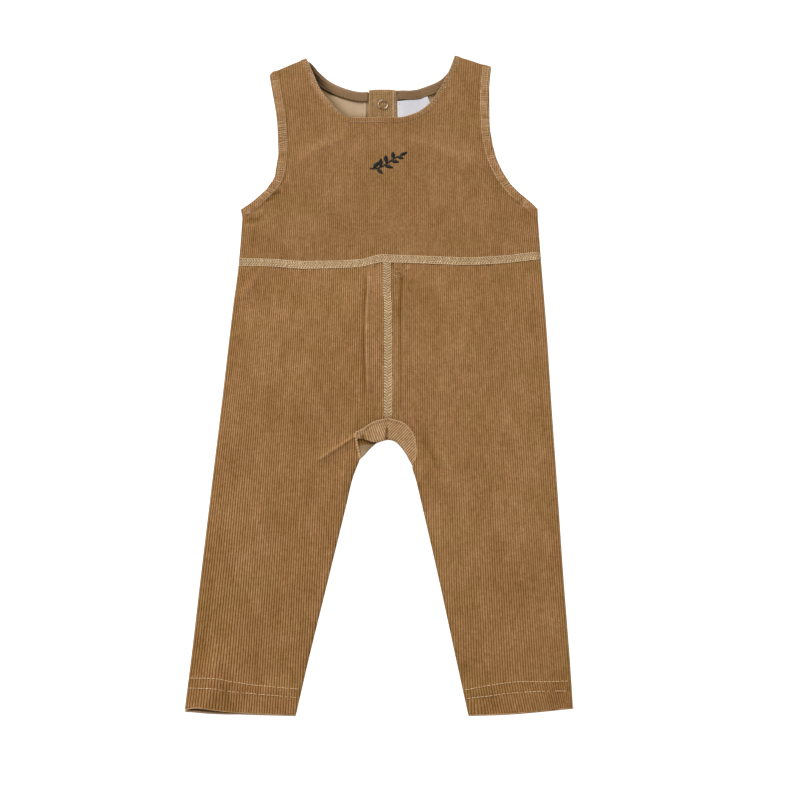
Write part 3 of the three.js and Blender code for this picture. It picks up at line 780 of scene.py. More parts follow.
class Net:
    """Short names for a node tree's nodes."""

    def __init__(self, nt):
        self.nt = nt

    def put(self, socket, value):
        if isinstance(value, bpy.types.NodeSocket):
            self.nt.links.new(value, socket)
        else:
            socket.default_value = value

    def math(self, op, a, b=None, c=None, clamp=False):
        n = self.nt.nodes.new("ShaderNodeMath")
        n.operation = op
        n.use_clamp = clamp
        for s, v in zip(n.inputs, (a, b, c)):
            if v is not None:
                self.put(s, v)
        return n.outputs[0]

    def span(self, value, a, b, c=0.0, d=1.0, smooth=True):
        n = self.nt.nodes.new("ShaderNodeMapRange")
        n.interpolation_type = "SMOOTHSTEP" if smooth else "LINEAR"
        for s, v in zip(n.inputs, (value, a, b, c, d)):
            self.put(s, v)
        return n.outputs[0]

    def noise(self, vector, scale, detail=2.0, rough=0.5, dims="3D", w=0.0):
        n = self.nt.nodes.new("ShaderNodeTexNoise")
        n.noise_dimensions = dims
        if dims != "1D":
            self.put(n.inputs["Vector"], vector)
        if dims in ("1D", "4D"):
            self.put(n.inputs["W"], w)
        n.inputs["Scale"].default_value = scale
        n.inputs["Detail"].default_value = detail
        n.inputs["Roughness"].default_value = rough
        return n.outputs["Fac"]

    def mix(self, a, b, t, mode="MIX"):
        n = self.nt.nodes.new("ShaderNodeMix")
        n.data_type = "RGBA"
        n.blend_type = mode
        self.put(n.inputs[0], t)
        self.put(n.inputs[6], a)
        self.put(n.inputs[7], b)
        return n.outputs[2]

    def uv(self, name="Cord"):
        n = self.nt.nodes.new("ShaderNodeUVMap")
        n.uv_map = name
        return n.outputs[0]

    def split(self, vector):
        n = self.nt.nodes.new("ShaderNodeSeparateXYZ")
        self.put(n.inputs[0], vector)
        return n.outputs

    def join(self, x, y, z=0.0):
        n = self.nt.nodes.new("ShaderNodeCombineXYZ")
        for s, v in zip(n.inputs, (x, y, z)):
            self.put(s, v)
        return n.outputs[0]

    def attribute(self, name):
        n = self.nt.nodes.new("ShaderNodeAttribute")
        n.attribute_name = name
        return n.outputs["Fac"]

    def place(self):
        return self.nt.nodes.new("ShaderNodeTexCoord").outputs["Object"]

    def bump(self, height, strength, distance, normal=None):
        n = self.nt.nodes.new("ShaderNodeBump")
        n.inputs["Strength"].default_value = strength
        n.inputs["Distance"].default_value = distance
        self.put(n.inputs["Height"], height)
        if normal is not None:
            self.put(n.inputs["Normal"], normal)
        return n.outputs[0]

    def scaled(self, colour, factor):
        return self.mix(colour, self.grey(factor), 1.0, "MULTIPLY")

    def deepened(self, colour, factor, red=0.85, blue=1.45):
        """The colour in a shade: where light passes through more fibre it loses blue first."""
        f = self.math("MAXIMUM", factor, 0.02)
        n = self.nt.nodes.new("ShaderNodeCombineColor")
        for s, v in zip(n.inputs, (self.math("POWER", f, red), f, self.math("POWER", f, blue))):
            self.put(s, v)
        return self.mix(colour, n.outputs[0], 1.0, "MULTIPLY")

    def grey(self, value):
        n = self.nt.nodes.new("ShaderNodeCombineColor")
        for s in n.inputs:
            self.put(s, value)
        return n.outputs[0]


def rgba(r, g, b):
    return (r, g, b, 1.0)


def corduroy(name, crest, groove, depth=1.0, sheen=0.10, seed=0.0):
    """Fine-wale corduroy. The cord map's x counts wales and its y is length in centimetres."""
    m, nt, bsdf = new_material(name)
    n = Net(nt)
    u, v, _ = n.split(n.uv())
    phase = n.math("FRACT", u)
    off = n.math("ABSOLUTE", n.math("SUBTRACT", phase, 0.5))  # 0 on a wale, 0.5 in a groove
    number = n.math("FLOOR", u)
    deep = n.span(off, 0.20, 0.47)
    # each wale has its own shade, which drifts along it
    drift = n.noise(n.join(n.math("MULTIPLY", number, 7.31), n.math("MULTIPLY", v, 0.55), seed), 1.0, 2.0, 0.6)
    lone = n.span(drift, 0.30, 0.70, 0.92, 1.075, smooth=False)
    place = n.place()
    px, py, pz = n.split(place)
    streak = n.join(px, n.math("MULTIPLY", py, 0.38), pz)
    broad = n.span(n.noise(n.join(px, n.math("MULTIPLY", py, 0.6), pz), 26.0, 3.0, 0.6), 0.3, 0.7, 0.92, 1.08, smooth=False)
    patch = n.span(n.noise(streak, 130.0, 3.0, 0.6), 0.28, 0.72, 0.90, 1.10, smooth=False)
    fibre = n.noise(n.join(n.math("MULTIPLY", u, 5.0), n.math("MULTIPLY", v, 14.0), seed), 1.0, 3.0, 0.7)
    fuzz = n.span(fibre, 0.25, 0.75, 0.60, 1.36, smooth=False)
    speck = n.span(n.noise(n.join(px, n.math("MULTIPLY", py, 0.6), pz), 450.0, 2.5, 0.65), 0.30, 0.70, 0.82, 1.17, smooth=False)
    fuzz = n.math("MULTIPLY", fuzz, speck)
    # broken tufts along a wale
    tuft = n.noise(n.join(n.math("MULTIPLY", number, 3.17), n.math("MULTIPLY", v, 6.5), seed + 2.0), 1.0, 2.0, 0.5)
    tufts = n.span(tuft, 0.3, 0.7, 0.90, 1.09, smooth=False)
    tone = n.math("ADD", 1.0, n.attribute("tone"))
    shade = n.math("MULTIPLY", n.math("MULTIPLY", lone, broad), n.math("MULTIPLY", patch, fuzz))
    shade = n.math("MULTIPLY", n.math("MULTIPLY", shade, tufts), tone)
    # the grooves take the darker colour: painted shade between the wales, over the ribs' own shading
    colour = n.mix(rgba(*crest), rgba(*groove), n.math("MULTIPLY", deep, depth))
    # the nap leans: here pinker and paler, there more olive
    warm = n.span(n.noise(n.join(n.math("MULTIPLY", u, 0.05), n.math("MULTIPLY", v, 0.30), seed + 5.0), 1.0, 3.0, 0.6), 0.32, 0.68)
    colour = n.mix(n.mix(colour, rgba(0.985, 1.006, 0.96), 1.0, "MULTIPLY"), n.mix(colour, rgba(1.018, 0.992, 1.02), 1.0, "MULTIPLY"), warm)
    colour = n.deepened(colour, shade, 0.82, 1.6)
    nt.links.new(colour, bsdf.inputs["Base Color"])
    bsdf.inputs["Roughness"].default_value = 0.92
    bsdf.inputs["Specular IOR Level"].default_value = 0.06
    bsdf.inputs["Sheen Weight"].default_value = sheen
    bsdf.inputs["Sheen Roughness"].default_value = 0.45
    bsdf.inputs["Sheen Tint"].default_value = rgba(1.0, 0.72, 0.45)
    relief_ = n.math("ADD", n.math("MULTIPLY", fibre, 0.6), n.math("MULTIPLY", tuft, 0.5))
    nt.links.new(n.bump(relief_, 0.45, 0.00035), bsdf.inputs["Normal"])
    return m


def lining(name, colour, seed=0.0):
    """The flat inner face of the corduroy: a fine even twill."""
    m, nt, bsdf = new_material(name)
    n = Net(nt)
    place = n.place()
    x, y, _ = n.split(place)
    a = n.math("SINE", n.math("MULTIPLY", n.math("ADD", x, n.math("MULTIPLY", y, 0.5)), 2 * math.pi / 0.00095))
    b = n.math("SINE", n.math("MULTIPLY", n.math("SUBTRACT", y, n.math("MULTIPLY", x, 0.15)), 2 * math.pi / 0.0008))
    weave = n.math("MULTIPLY", n.math("ADD", a, n.math("MULTIPLY", b, 0.6)), 0.5)
    cloud = n.span(n.noise(place, 60.0, 3.0, 0.6), 0.3, 0.7, 0.93, 1.05, smooth=False)
    fine = n.span(n.noise(place, 1500.0, 2.0, 0.6), 0.3, 0.7, 0.95, 1.05, smooth=False)
    shade = n.math("MULTIPLY", n.math("MULTIPLY", cloud, fine), n.math("ADD", 1.0, n.math("MULTIPLY", weave, 0.035)))
    shade = n.math("MULTIPLY", shade, n.math("ADD", 1.0, n.attribute("tone")))
    nt.links.new(n.deepened(rgba(*colour), shade, 0.92, 1.25), bsdf.inputs["Base Color"])
    bsdf.inputs["Roughness"].default_value = 0.85
    bsdf.inputs["Specular IOR Level"].default_value = 0.06
    bsdf.inputs["Sheen Weight"].default_value = 0.04
    bsdf.inputs["Sheen Roughness"].default_value = 0.5
    nt.links.new(n.bump(weave, 0.25, 0.00012), bsdf.inputs["Normal"])
    return m


def thread(name, colour, vary=0.16, rough=0.62, sheen=0.2):
    """Spun thread: plies that wind round it, and a few loose fibres."""
    m, nt, bsdf = new_material(name)
    n = Net(nt)
    u, v, _ = n.split(n.uv())
    ply = n.math("SINE", n.math("MULTIPLY", n.math("ADD", u, n.math("MULTIPLY", v, 2.0)), 2 * math.pi))
    place = n.place()
    spot = n.span(n.noise(place, 420.0, 3.0, 0.65), 0.3, 0.7, 1 - vary, 1 + vary, smooth=False)
    cloud = n.span(n.noise(place, 60.0, 2.0, 0.5), 0.3, 0.7, 1 - vary * 0.5, 1 + vary * 0.5, smooth=False)
    shade = n.math("MULTIPLY", n.math("MULTIPLY", spot, cloud), n.math("ADD", 1.0, n.math("MULTIPLY", ply, 0.08)))
    shade = n.math("MULTIPLY", shade, n.math("ADD", 1.0, n.attribute("tone")))
    nt.links.new(n.deepened(rgba(*colour), shade, 0.93, 1.3), bsdf.inputs["Base Color"])
    bsdf.inputs["Roughness"].default_value = rough
    bsdf.inputs["Specular IOR Level"].default_value = 0.3
    bsdf.inputs["Sheen Weight"].default_value = sheen
    bsdf.inputs["Sheen Roughness"].default_value = 0.4
    nt.links.new(n.bump(ply, 0.35, 0.0001), bsdf.inputs["Normal"])
    return m


def twill_tape(name, colour):
    """Narrow woven tape: a herringbone across its width, with firm edges. The cord map is in millimetres."""
    m, nt, bsdf = new_material(name)
    n = Net(nt)
    u, v, _ = n.split(n.uv())
    fold = n.math("PINGPONG", v, 1.6)
    bone = n.math("SINE", n.math("MULTIPLY", n.math("ADD", u, fold), 2 * math.pi / 0.9))
    place = n.place()
    cloud = n.span(n.noise(place, 70.0, 3.0, 0.6), 0.3, 0.7, 0.92, 1.07, smooth=False)
    fine = n.span(n.noise(place, 1200.0, 2.0, 0.6), 0.3, 0.7, 0.94, 1.06, smooth=False)
    shade = n.math("MULTIPLY", n.math("MULTIPLY", cloud, fine), n.math("ADD", 1.0, n.math("MULTIPLY", bone, 0.05)))
    shade = n.math("MULTIPLY", shade, n.math("ADD", 1.0, n.attribute("tone")))
    nt.links.new(n.deepened(rgba(*colour), shade, 0.9, 1.3), bsdf.inputs["Base Color"])
    bsdf.inputs["Roughness"].default_value = 0.7
    bsdf.inputs["Specular IOR Level"].default_value = 0.06
    bsdf.inputs["Sheen Weight"].default_value = 0.03
    nt.links.new(n.bump(bone, 0.3, 0.00012), bsdf.inputs["Normal"])
    return m


def satin(name, colour):
    """Woven satin label: fine floats across, a faint selvedge. The cord map is in millimetres."""
    m, nt, bsdf = new_material(name)
    n = Net(nt)
    u, v, _ = n.split(n.uv())
    warp = n.math("SINE", n.math("MULTIPLY", u, 2 * math.pi / 0.42))
    weft = n.math("SINE", n.math("MULTIPLY", n.math("ADD", v, n.math("MULTIPLY", u, 0.3)), 2 * math.pi / 0.5))
    weave = n.math("MULTIPLY", n.math("ADD", warp, weft), 0.5)
    place = n.place()
    cloud = n.span(n.noise(place, 90.0, 2.0, 0.5), 0.3, 0.7, 0.97, 1.02, smooth=False)
    shade = n.math("MULTIPLY", cloud, n.math("ADD", 1.0, n.math("MULTIPLY", weave, 0.03)))
    shade = n.math("MULTIPLY", shade, n.math("ADD", 1.0, n.attribute("tone")))
    nt.links.new(n.scaled(rgba(*colour), shade), bsdf.inputs["Base Color"])
    bsdf.inputs["Roughness"].default_value = 0.5
    bsdf.inputs["Specular IOR Level"].default_value = 0.4
    nt.links.new(n.bump(weave, 0.25, 0.00008), bsdf.inputs["Normal"])
    return m


def snap_metal(name):
    """Pressed and plated snap metal: fine turning marks, small dull patches."""
    m, nt, bsdf = new_material(name)
    n = Net(nt)
    place = n.place()
    fine = n.noise(place, 2600.0, 3.0, 0.6)
    cloud = n.noise(place, 500.0, 2.0, 0.5)
    bsdf.inputs["Metallic"].default_value = 1.0
    colour = n.mix(rgba(0.86, 0.76, 0.62), rgba(0.62, 0.52, 0.40), n.span(cloud, 0.4, 0.7))
    # the tone darkens the metal towards brown: painted shade between the ring's painted highlights
    colour = n.mix(rgba(0.20, 0.135, 0.075), colour, n.math("ADD", 1.0, n.attribute("tone")))
    nt.links.new(colour, bsdf.inputs["Base Color"])
    nt.links.new(n.span(fine, 0.3, 0.7, 0.30, 0.48), bsdf.inputs["Roughness"])
    nt.links.new(n.bump(fine, 0.15, 0.00005), bsdf.inputs["Normal"])
    return m


# a wale's crest colour and its groove's colour; the groove's darker colour is painted shade
CREST = (0.379, 0.2106, 0.0882)
GROOVE = (0.163, 0.0552, 0.0065)


def tinted(c, k, warm=1.0):
    return (c[0] * k * warm, c[1] * k, c[2] * k / warm)


CORD_BODICE = corduroy("corduroy_bodice", CREST, GROOVE, depth=0.94, seed=1.0)
CORD_LEG_R = corduroy("corduroy_leg_right", tinted(CREST, 1.10), tinted(GROOVE, 1.05), depth=1.05, seed=9.0)
CORD_LEG_L = corduroy("corduroy_leg_left", tinted(CREST, 1.02, 1.01), GROOVE, depth=0.86, seed=17.0)
CORD_BACK = corduroy("corduroy_back", CREST, GROOVE, depth=0.9, seed=25.0)
CORD_GUSSET = corduroy("corduroy_gusset", (0.53, 0.335, 0.178), (0.25, 0.108, 0.030), depth=1.0, seed=33.0)
CORD_BAND = corduroy("corduroy_band", (0.400, 0.247, 0.115), (0.225, 0.092, 0.016), depth=0.75, seed=41.0)
LINING = lining("cloth_inner_face", (0.60, 0.43, 0.278))
SEAM_THREAD = thread("seam_thread", (0.700, 0.500, 0.280), vary=0.20)
# the bed is given darker than the strands: painted shade in the gaps between them
SEAM_BED = thread("seam_thread_bed", (0.42, 0.268, 0.128), sheen=0.05)
HEM_THREAD = thread("hem_thread", (0.76, 0.52, 0.29), vary=0.12)
EDGE_THREAD = thread("edge_thread", (0.60, 0.41, 0.225), vary=0.2)
ROLL = thread("rolled_cloth", (0.42, 0.248, 0.112), vary=0.16, rough=0.9, sheen=0.1)
TAPE = twill_tape("neck_tape", (0.262, 0.156, 0.077))
LABEL_MAT = satin("label_satin", (0.76, 0.75, 0.80))
LABEL_THREAD = thread("label_thread", (0.70, 0.69, 0.72), vary=0.06)
METAL = snap_metal("snap_metal")
BLACK = thread("motif_thread", (0.0105, 0.0088, 0.0085), vary=0.25, rough=0.6, sheen=0.05)

# ---------------------------------------------------------------- tones of the cloth, laid on one by one
# Place, half-widths, turn in degrees, change of tone: partly where the pile leans, partly painted light along ridges
# and drags and painted shade in creases, armpits and along edges.
TONES = [
    (-63, 190, 27, 6.5, 34, 0.13), (-60, 178, 24, 7, 30, 0.04), (55, 182, 33, 5.5, -20, 0.14), (62, 173, 26, 4.0, -16, 0.08),
    (30, 196, 18, 8, -20, 0.05), (-118, 90, 8, 26, 0, -0.07), (-97, 128, 9, 13, 35, -0.10), (-104, 120, 6, 5, 30, -0.12),
    (-80, 240, 18, 26, 20, -0.06), (80, 262, 12, 20, -15, -0.07), (72, 232, 14, 22, 0, -0.04), (-10, 196, 15, 17, 0, 0.04),
    (18, 206, 8, 12, 0, -0.06), (20, 112, 60, 20, 0, 0.03), (-20, 90, 70, 12, 0, -0.02),
    (-9.5, 10, 5, 60, 0, 0.10), (-9, 42, 6, 16, 0, 0.15), (-128, 108, 3, 9, 0, 0.05),
    (30, -101, 3.2, 7, 0, -0.10), (26.5, -119, 2.6, 14, 4, 0.07), (-23, -130, 2.4, 18, -14, -0.12), (26, -140, 2.0, 20, 10, -0.06), (7.8, 34, 4.2, 30, 0, -0.13), (7.6, -20, 3.6, 60, 0, -0.04),
    (26, 30, 12, 22, 0, -0.07), (40, 47, 14, 5, -14, 0.05), (24, 0, 8, 44, 0, 0.03), (-60, 0, 34, 50, 0, 0.03),
    (31, -112, 6, 20, 10, -0.07), (44, -116, 7, 22, 20, 0.05), (-31, -150, 4, 30, 5, 0.04), (-40, -88, 14, 6, 24, 0.04),
    (-77, 293.5, 6, 4.5, 50, 0.24), (69, 301, 6, 3.6, -20, 0.16), (-104, 268, 4, 30, 0, 0.04), (-6, 214.5, 9, 4.0, 0, 0.07),
    (-100, -60, 26, 60, 0, 0.02), (-90, -250, 40, 40, 0, -0.03), (90, -250, 40, 45, 0, -0.03),
    (-129, -230, 5, 60, 0, -0.10), (127, -200, 5, 90, 0, -0.08), (-105, -283, 5.0, 11, -3, -0.13), (-122, -284, 7, 12, 0, 0.03), (-126, -262, 6, 22, -6, -0.05),
    (-80, -268, 30, 6, 0, -0.06), (90, -272, 36, 6, 0, -0.04),
]


# Sharp lines of light and shade along the folds: points, reach on the left and right, change of tone, fade.
TONE_LINES = [
    ([(-17.4, 54), (-17.4, 32.2), (-18.3, 12.8), (-18.5, -1.4), (-18.1, -20), (-16.7, -51.6), (-15.6, -69)], 0.8, 1.3, -0.27, 0.12),
    ([(-15.5, 55), (-15.6, 32.2), (-16.5, 12.8), (-16.7, -1.4), (-16.3, -20), (-15.0, -51.6), (-14.0, -66)], 1.2, 0.8, 0.34, 0.12),
    ([(-11.0, 52), (-11.2, 28.0), (-11.6, 0.0), (-11.2, -30), (-10.4, -62)], 3.4, 3.2, 0.065, 0.12),
    ([(13.6, 54), (13.1, 42.1), (12.7, 32.2), (12.2, 22.5), (11.8, 3.3), (12.6, -20), (12.2, -51.6), (11.9, -80)], 0.8, 1.0, -0.26, 0.12),
    ([(-22.6, -97.4), (-32.6, -105.2), (-42.6, -112.2), (-53.1, -120.1)], 0.7, 0.8, 0.30, 0.2),
    ([(-23.0, -100.6), (-32.0, -107.6), (-42.0, -114.6), (-50.0, -120.6)], 1.6, 0.9, -0.04, 0.25),
    ([(-128.5, 100.3), (-119.6, 100.5), (-111.6, 101.8)], 1.1, 1.1, 0.36, 0.25),
    ([(-127.7, 105.2), (-118.2, 105.8), (-108.9, 107.6)], 2.2, 2.2, -0.40, 0.3),
    ([(-129.3, 113.0), (-118.8, 113.4), (-109.4, 114.9)], 1.2, 1.2, 0.32, 0.25),
    ([(-107.3, 132.2), (-101.4, 133.4), (-94.2, 135.8)], 1.4, 1.4, -0.44, 0.3),
    ([(-111.0, 125.6), (-106.4, 126.7), (-102.0, 128.6)], 1.4, 1.4, -0.42, 0.3),
    ([(-107.2, 137.9), (-100.9, 138.7), (-93.6, 140.1)], 1.1, 1.1, 0.28, 0.3),
    ([(113.7, 126.1), (122.6, 122.7), (128.9, 120.5)], 1.2, 1.2, -0.34, 0.3),
    ([(111.8, 123.4), (119.8, 120.5), (129.6, 118.0)], 1.1, 1.1, 0.28, 0.3),
    # the neck's left edge is paler, most at the shoulder
    ([(-79.3, 294.0), (-73.6, 276.9), (-66.0, 257.6), (-57.7, 242.4), (-48.6, 230.0), (-39.8, 222.6)], 2.6, 3.0, 0.12, 0.15),
    ([(-77.8, 282.2), (-70.1, 262.7), (-62.6, 246.2), (-53.5, 232.4)], 1.2, 1.6, 0.08, 0.15),
    ([(-83.3, 295.4), (-78.3, 292.7), (-76.0, 286.1)], 2.0, 2.0, 0.20, 0.3),
    ([(29.5, -99), (33.0, -108), (38.0, -119), (43.5, -129)], 1.4, 1.6, -0.12, 0.25),
]


def tone_at(x, y):
    x, y = np.broadcast_arrays(np.asarray(x, float), np.asarray(y, float))
    # painted light and shade over the creases and puckers, then the lines of light and shade, a random unevenness and
    # the listed tones
    z = np.clip(0.15 * crease_field(x, y, CREASES) + 0.36 * dimple_field(x, y), -0.32, 0.18)
    z += crease_field(x, y, TONE_LINES, gain=1.0)
    z += 0.045 * noise(x / 15, y / 20, 7) + 0.030 * noise(x / 6.5, y / 12, 8)
    for px, py, ra, rb, turn, h in TONES:
        a = math.radians(turn)
        u = (x - px) * math.cos(a) + (y - py) * math.sin(a)
        v = -(x - px) * math.sin(a) + (y - py) * math.cos(a)
        z += h * np.exp(-((u / ra) ** 2) - (v / rb) ** 2)
    return z


# ---------------------------------------------------------------- front bodice
RIB = 0.36  # height of a wale over its groove


def wander(x, y, seed):
    """How far a wale strays sideways, so that no line is ruler-straight."""
    return 0.16 * noise(x / 30, y / 24, seed) + 0.05 * noise(x / 4.0, y / 9.0, seed + 1)


def bodice_blocks(arm_gap=0.0, neck=neck_front, waist_line=waist, gap=0.05, columns=None, lower_rows=44, upper_rows=56):
    """Cells of a bodice panel between x limits. columns gives (x, u, keep) of the nominal columns."""
    xl, xr = -131.3, 134.9
    il, ir = -101.4, 96.2
    low_left = inverse(armhole_left, 117.5, 180.0)
    up_left = inverse(armhole_left, 180.0, 276.3)
    low_right = inverse(armhole_right, 117.5, 208.0)
    up_right = inverse(armhole_right, 233.0, 288.0)

    def split_y(x):
        return lerp(180.0, 220.0, clamp01((x - il) / (ir - il)) ** 1.6)

    x, u, keep = columns

    def lower_top(xx):
        y = split_y(xx)
        y = np.where(xx < il, low_left(xx), y)
        return np.where(xx > ir, low_right(xx), y)

    def upper_bottom(xx):
        y = split_y(xx)
        y = np.where(xx < il - 1e-9, up_left(xx), y)
        return np.where(xx > ir + 1e-9, up_right(xx), y)

    def upper_top(xx):
        y = shoulder(xx)
        return np.where((xx > -81.0) & (xx < 65.6), neck(xx), y)

    def shifted(xx, y):
        left = (side_left(np.minimum(y, 117.5)) - xl) * ease(30, 0, xx - xl) * ease(126, 112, y)
        right = (side_right(np.minimum(y, 117.5)) - xr) * ease(30, 0, xr - xx) * ease(126, 112, y)
        return xx + left + right

    y0, y1 = waist_line(x) + gap, lower_top(x)
    lower = spread_rows(y0, y1, slopes(x, y0), np.where((x < il) | (x > ir), slopes(x, y1), 0.0), lower_rows)
    xx = np.broadcast_to(x, lower.shape)
    blocks = [(shifted(xx, lower), lower, keep)]
    # upper columns: those of the lower block between the armholes, and new ones out to the shoulder tips
    k = (x >= -116.3) & (x <= 100.9)
    xu, ku = x[k], keep[k].copy()
    ku[0] = ku[-1] = True
    y0, y1 = upper_bottom(xu), upper_top(xu)
    top_slope = slopes(xu, y1)
    bottom_slope = np.where((xu < il) | (xu > ir), slopes(xu, y0), 0.0)
    upper = spread_rows(y0, y1, bottom_slope, top_slope, upper_rows)
    return blocks, (xu, upper, ku)


def make_front_bodice():
    xl, il, ir, xr = -131.3, -101.4, 96.2, 134.9
    a, ua, ka = wale_columns(xl, il, 17, first_edge=True)
    b, ub, kb = wale_columns(il, ir, 113)
    c, uc, kc = wale_columns(ir, xr, 22, last_edge=True)
    x = np.concatenate([a, b[1:], c[1:]])
    u = np.concatenate([ua, 17 + ub[1:], 130 + uc[1:]])
    keep = np.concatenate([ka, kb[1:], kc[1:]])
    blocks, (xu, upper, ku) = bodice_blocks(columns=(x, u, keep))
    # the first and last columns of the upper block and the armhole ends must be shared by both faces
    blocks.append((np.broadcast_to(xu, upper.shape), upper, ku))
    p, quads, plain = weld(blocks)
    px, py = p[:, 0], p[:, 1]
    nominal_u = np.interp(px, x, u)
    loops = boundary_loops(quads)
    edge = np.concatenate([p[loops[0]], p[loops[0][:1]]])
    d_edge, _ = curve_distance(edge, px, py, 2.5)
    d_arm_l, s_arm_l = curve_distance(CURVE_ARM_LEFT, px, py, 18)
    d_arm_r, s_arm_r = curve_distance(CURVE_ARM_RIGHT, px, py, 18)
    d_neck, s_neck = curve_distance(CURVE_NECK_FRONT, px, py, 16)
    d_waist = np.abs(py - waist(px))
    d_shoulder = np.abs(py - shoulder(px)) + 100 * ((px > -81.2) & (px < 65.8))
    base = front_base(px, py)
    z = base + CLOTH
    tone = tone_at(px, py)
    # turned hems of the armholes: doubled cloth, two sunk rows of stitches that pull it into lumps
    for d, s, seed in ((d_arm_l, s_arm_l, 51), (d_arm_r, s_arm_r, 61)):
        z += 0.70 * ease(9.6, 8.0, d)
        for at, depth in ((2.8, 0.18), (8.0, 0.26)):
            z -= depth * np.exp(-(((d - at) / 0.75) ** 2)) * (0.75 + 0.25 * np.sin(2 * math.pi * s / 2.5))
        lumps = noise(s / 2.3, seed + d * 0.05, seed) * 0.20 + noise(s / 4.6, seed + 0.5, seed + 1) * 0.16
        z += lumps * ease(13.5, 6.5, d) * ease(0.0, 2.0, d)
        z += 0.42 * noise(s / 6.0, d / 16.0 + seed, seed + 2) * ease(18, 8, d)
        # the tone: the hem paler, painted shade just past its inner edge, random flecks, a pale line near the edge and
        # painted shade on the rolled edge itself
        tone += 0.15 * ease(9.4, 8.0, d) - 0.12 * np.exp(-(((d - 9.9) / 1.2) ** 2))
        tone += 0.13 * noise(s / 2.1, d / 4.0, seed + 3) * ease(14, 8.0, d)
        tone += 0.08 * np.exp(-(((d - 1.6) / 0.9) ** 2)) - 0.26 * ease(0.9, 0.2, d)
    # turned hem of the neck
    z += 0.42 * ease(7.6, 5.2, d_neck)
    z -= 0.10 * np.exp(-(((d_neck - 5.8) / 0.7) ** 2)) * (0.8 + 0.2 * np.sin(2 * math.pi * s_neck / 2.6))
    steep = ease(219.9, 240, py)
    lumps = noise(s_neck / 2.4, 71 + d_neck * 0.05, 71) * 0.18 + noise(s_neck / 5.0, 0.5, 72) * 0.12
    z += lumps * ease(10, 5.5, d_neck) * ease(0.0, 2.0, d_neck) * (0.35 + 0.65 * steep)
    # the tone: the steep hem paler with a pale line at its edge, random flecks and pale beads along the left slope, a
    # little painted shade at its inner edge
    tone += 0.14 * ease(7.4, 6.2, d_neck) * steep + 0.20 * np.exp(-(((d_neck - 0.5) / 0.75) ** 2))
    tone += 0.09 * noise(s_neck / 2.2, d_neck / 3.0, 73) * ease(8.5, 5.5, d_neck) * steep
    tone -= 0.05 * np.exp(-(((d_neck - 7.4) / 1.2) ** 2)) * steep
    tone += 0.16 * np.clip(noise(s_neck / 1.7, d_neck / 2.2, 74), 0, 1) * ease(4.5, 1.5, d_neck) * steep
    tone += (0.10 + 0.26 * np.clip(noise(s_neck / 1.3, d_neck / 1.5, 76), -0.4, 1)) * ease(5.6, 3.8, d_neck) * steep * ease(10, -10, px)
    # the shoulder edge is rolled to the back, the waist edge is pressed under its seam
    z -= 0.10 * ease(3.2, 0.0, d_shoulder)
    tone += 0.08 * np.exp(-(((d_shoulder - 0.8) / 0.9) ** 2))
    pull = ease(13, 3.3, d_waist)
    z += pull * (0.13 * noise(px / 1.9, 81.0, 81) + 0.16 * noise(px / 5.3, 82.0, 82))
    tone += 0.07 * noise(px / 1.8, 83.0, 83) * pull
    z -= 0.30 * ease(2.6, 1.0, d_waist)
    flat = ease(2.8, 1.8, d_waist)
    ribs = RIB * (rib(nominal_u) - 0.72) * (1 - flat) * (0.9 + 0.16 * noise(px / 11, py / 15, 4))
    z += ribs - round_off(d_edge, 0.95)
    under = base + 0.28 * ease(0.9, 0.0, d_edge)
    sx = px + wander(px, py, 21) * ease(0.0, 6.0, np.minimum(d_edge, d_edge) * 0 + np.minimum(px - side_left(py), side_right(py) - px))
    outer = np.stack([sx, py, z], 1)
    inner = np.stack([sx, py, under], 1)
    parts = Parts()
    cord = np.stack([nominal_u, py / 10], 1)
    closed_panel(parts, quads, plain, outer, inner, cord, cord, tone, False, (0, 1, 0), p)
    return parts.build("front_bodice_cloth", [CORD_BODICE, LINING])


# ---------------------------------------------------------------- legs


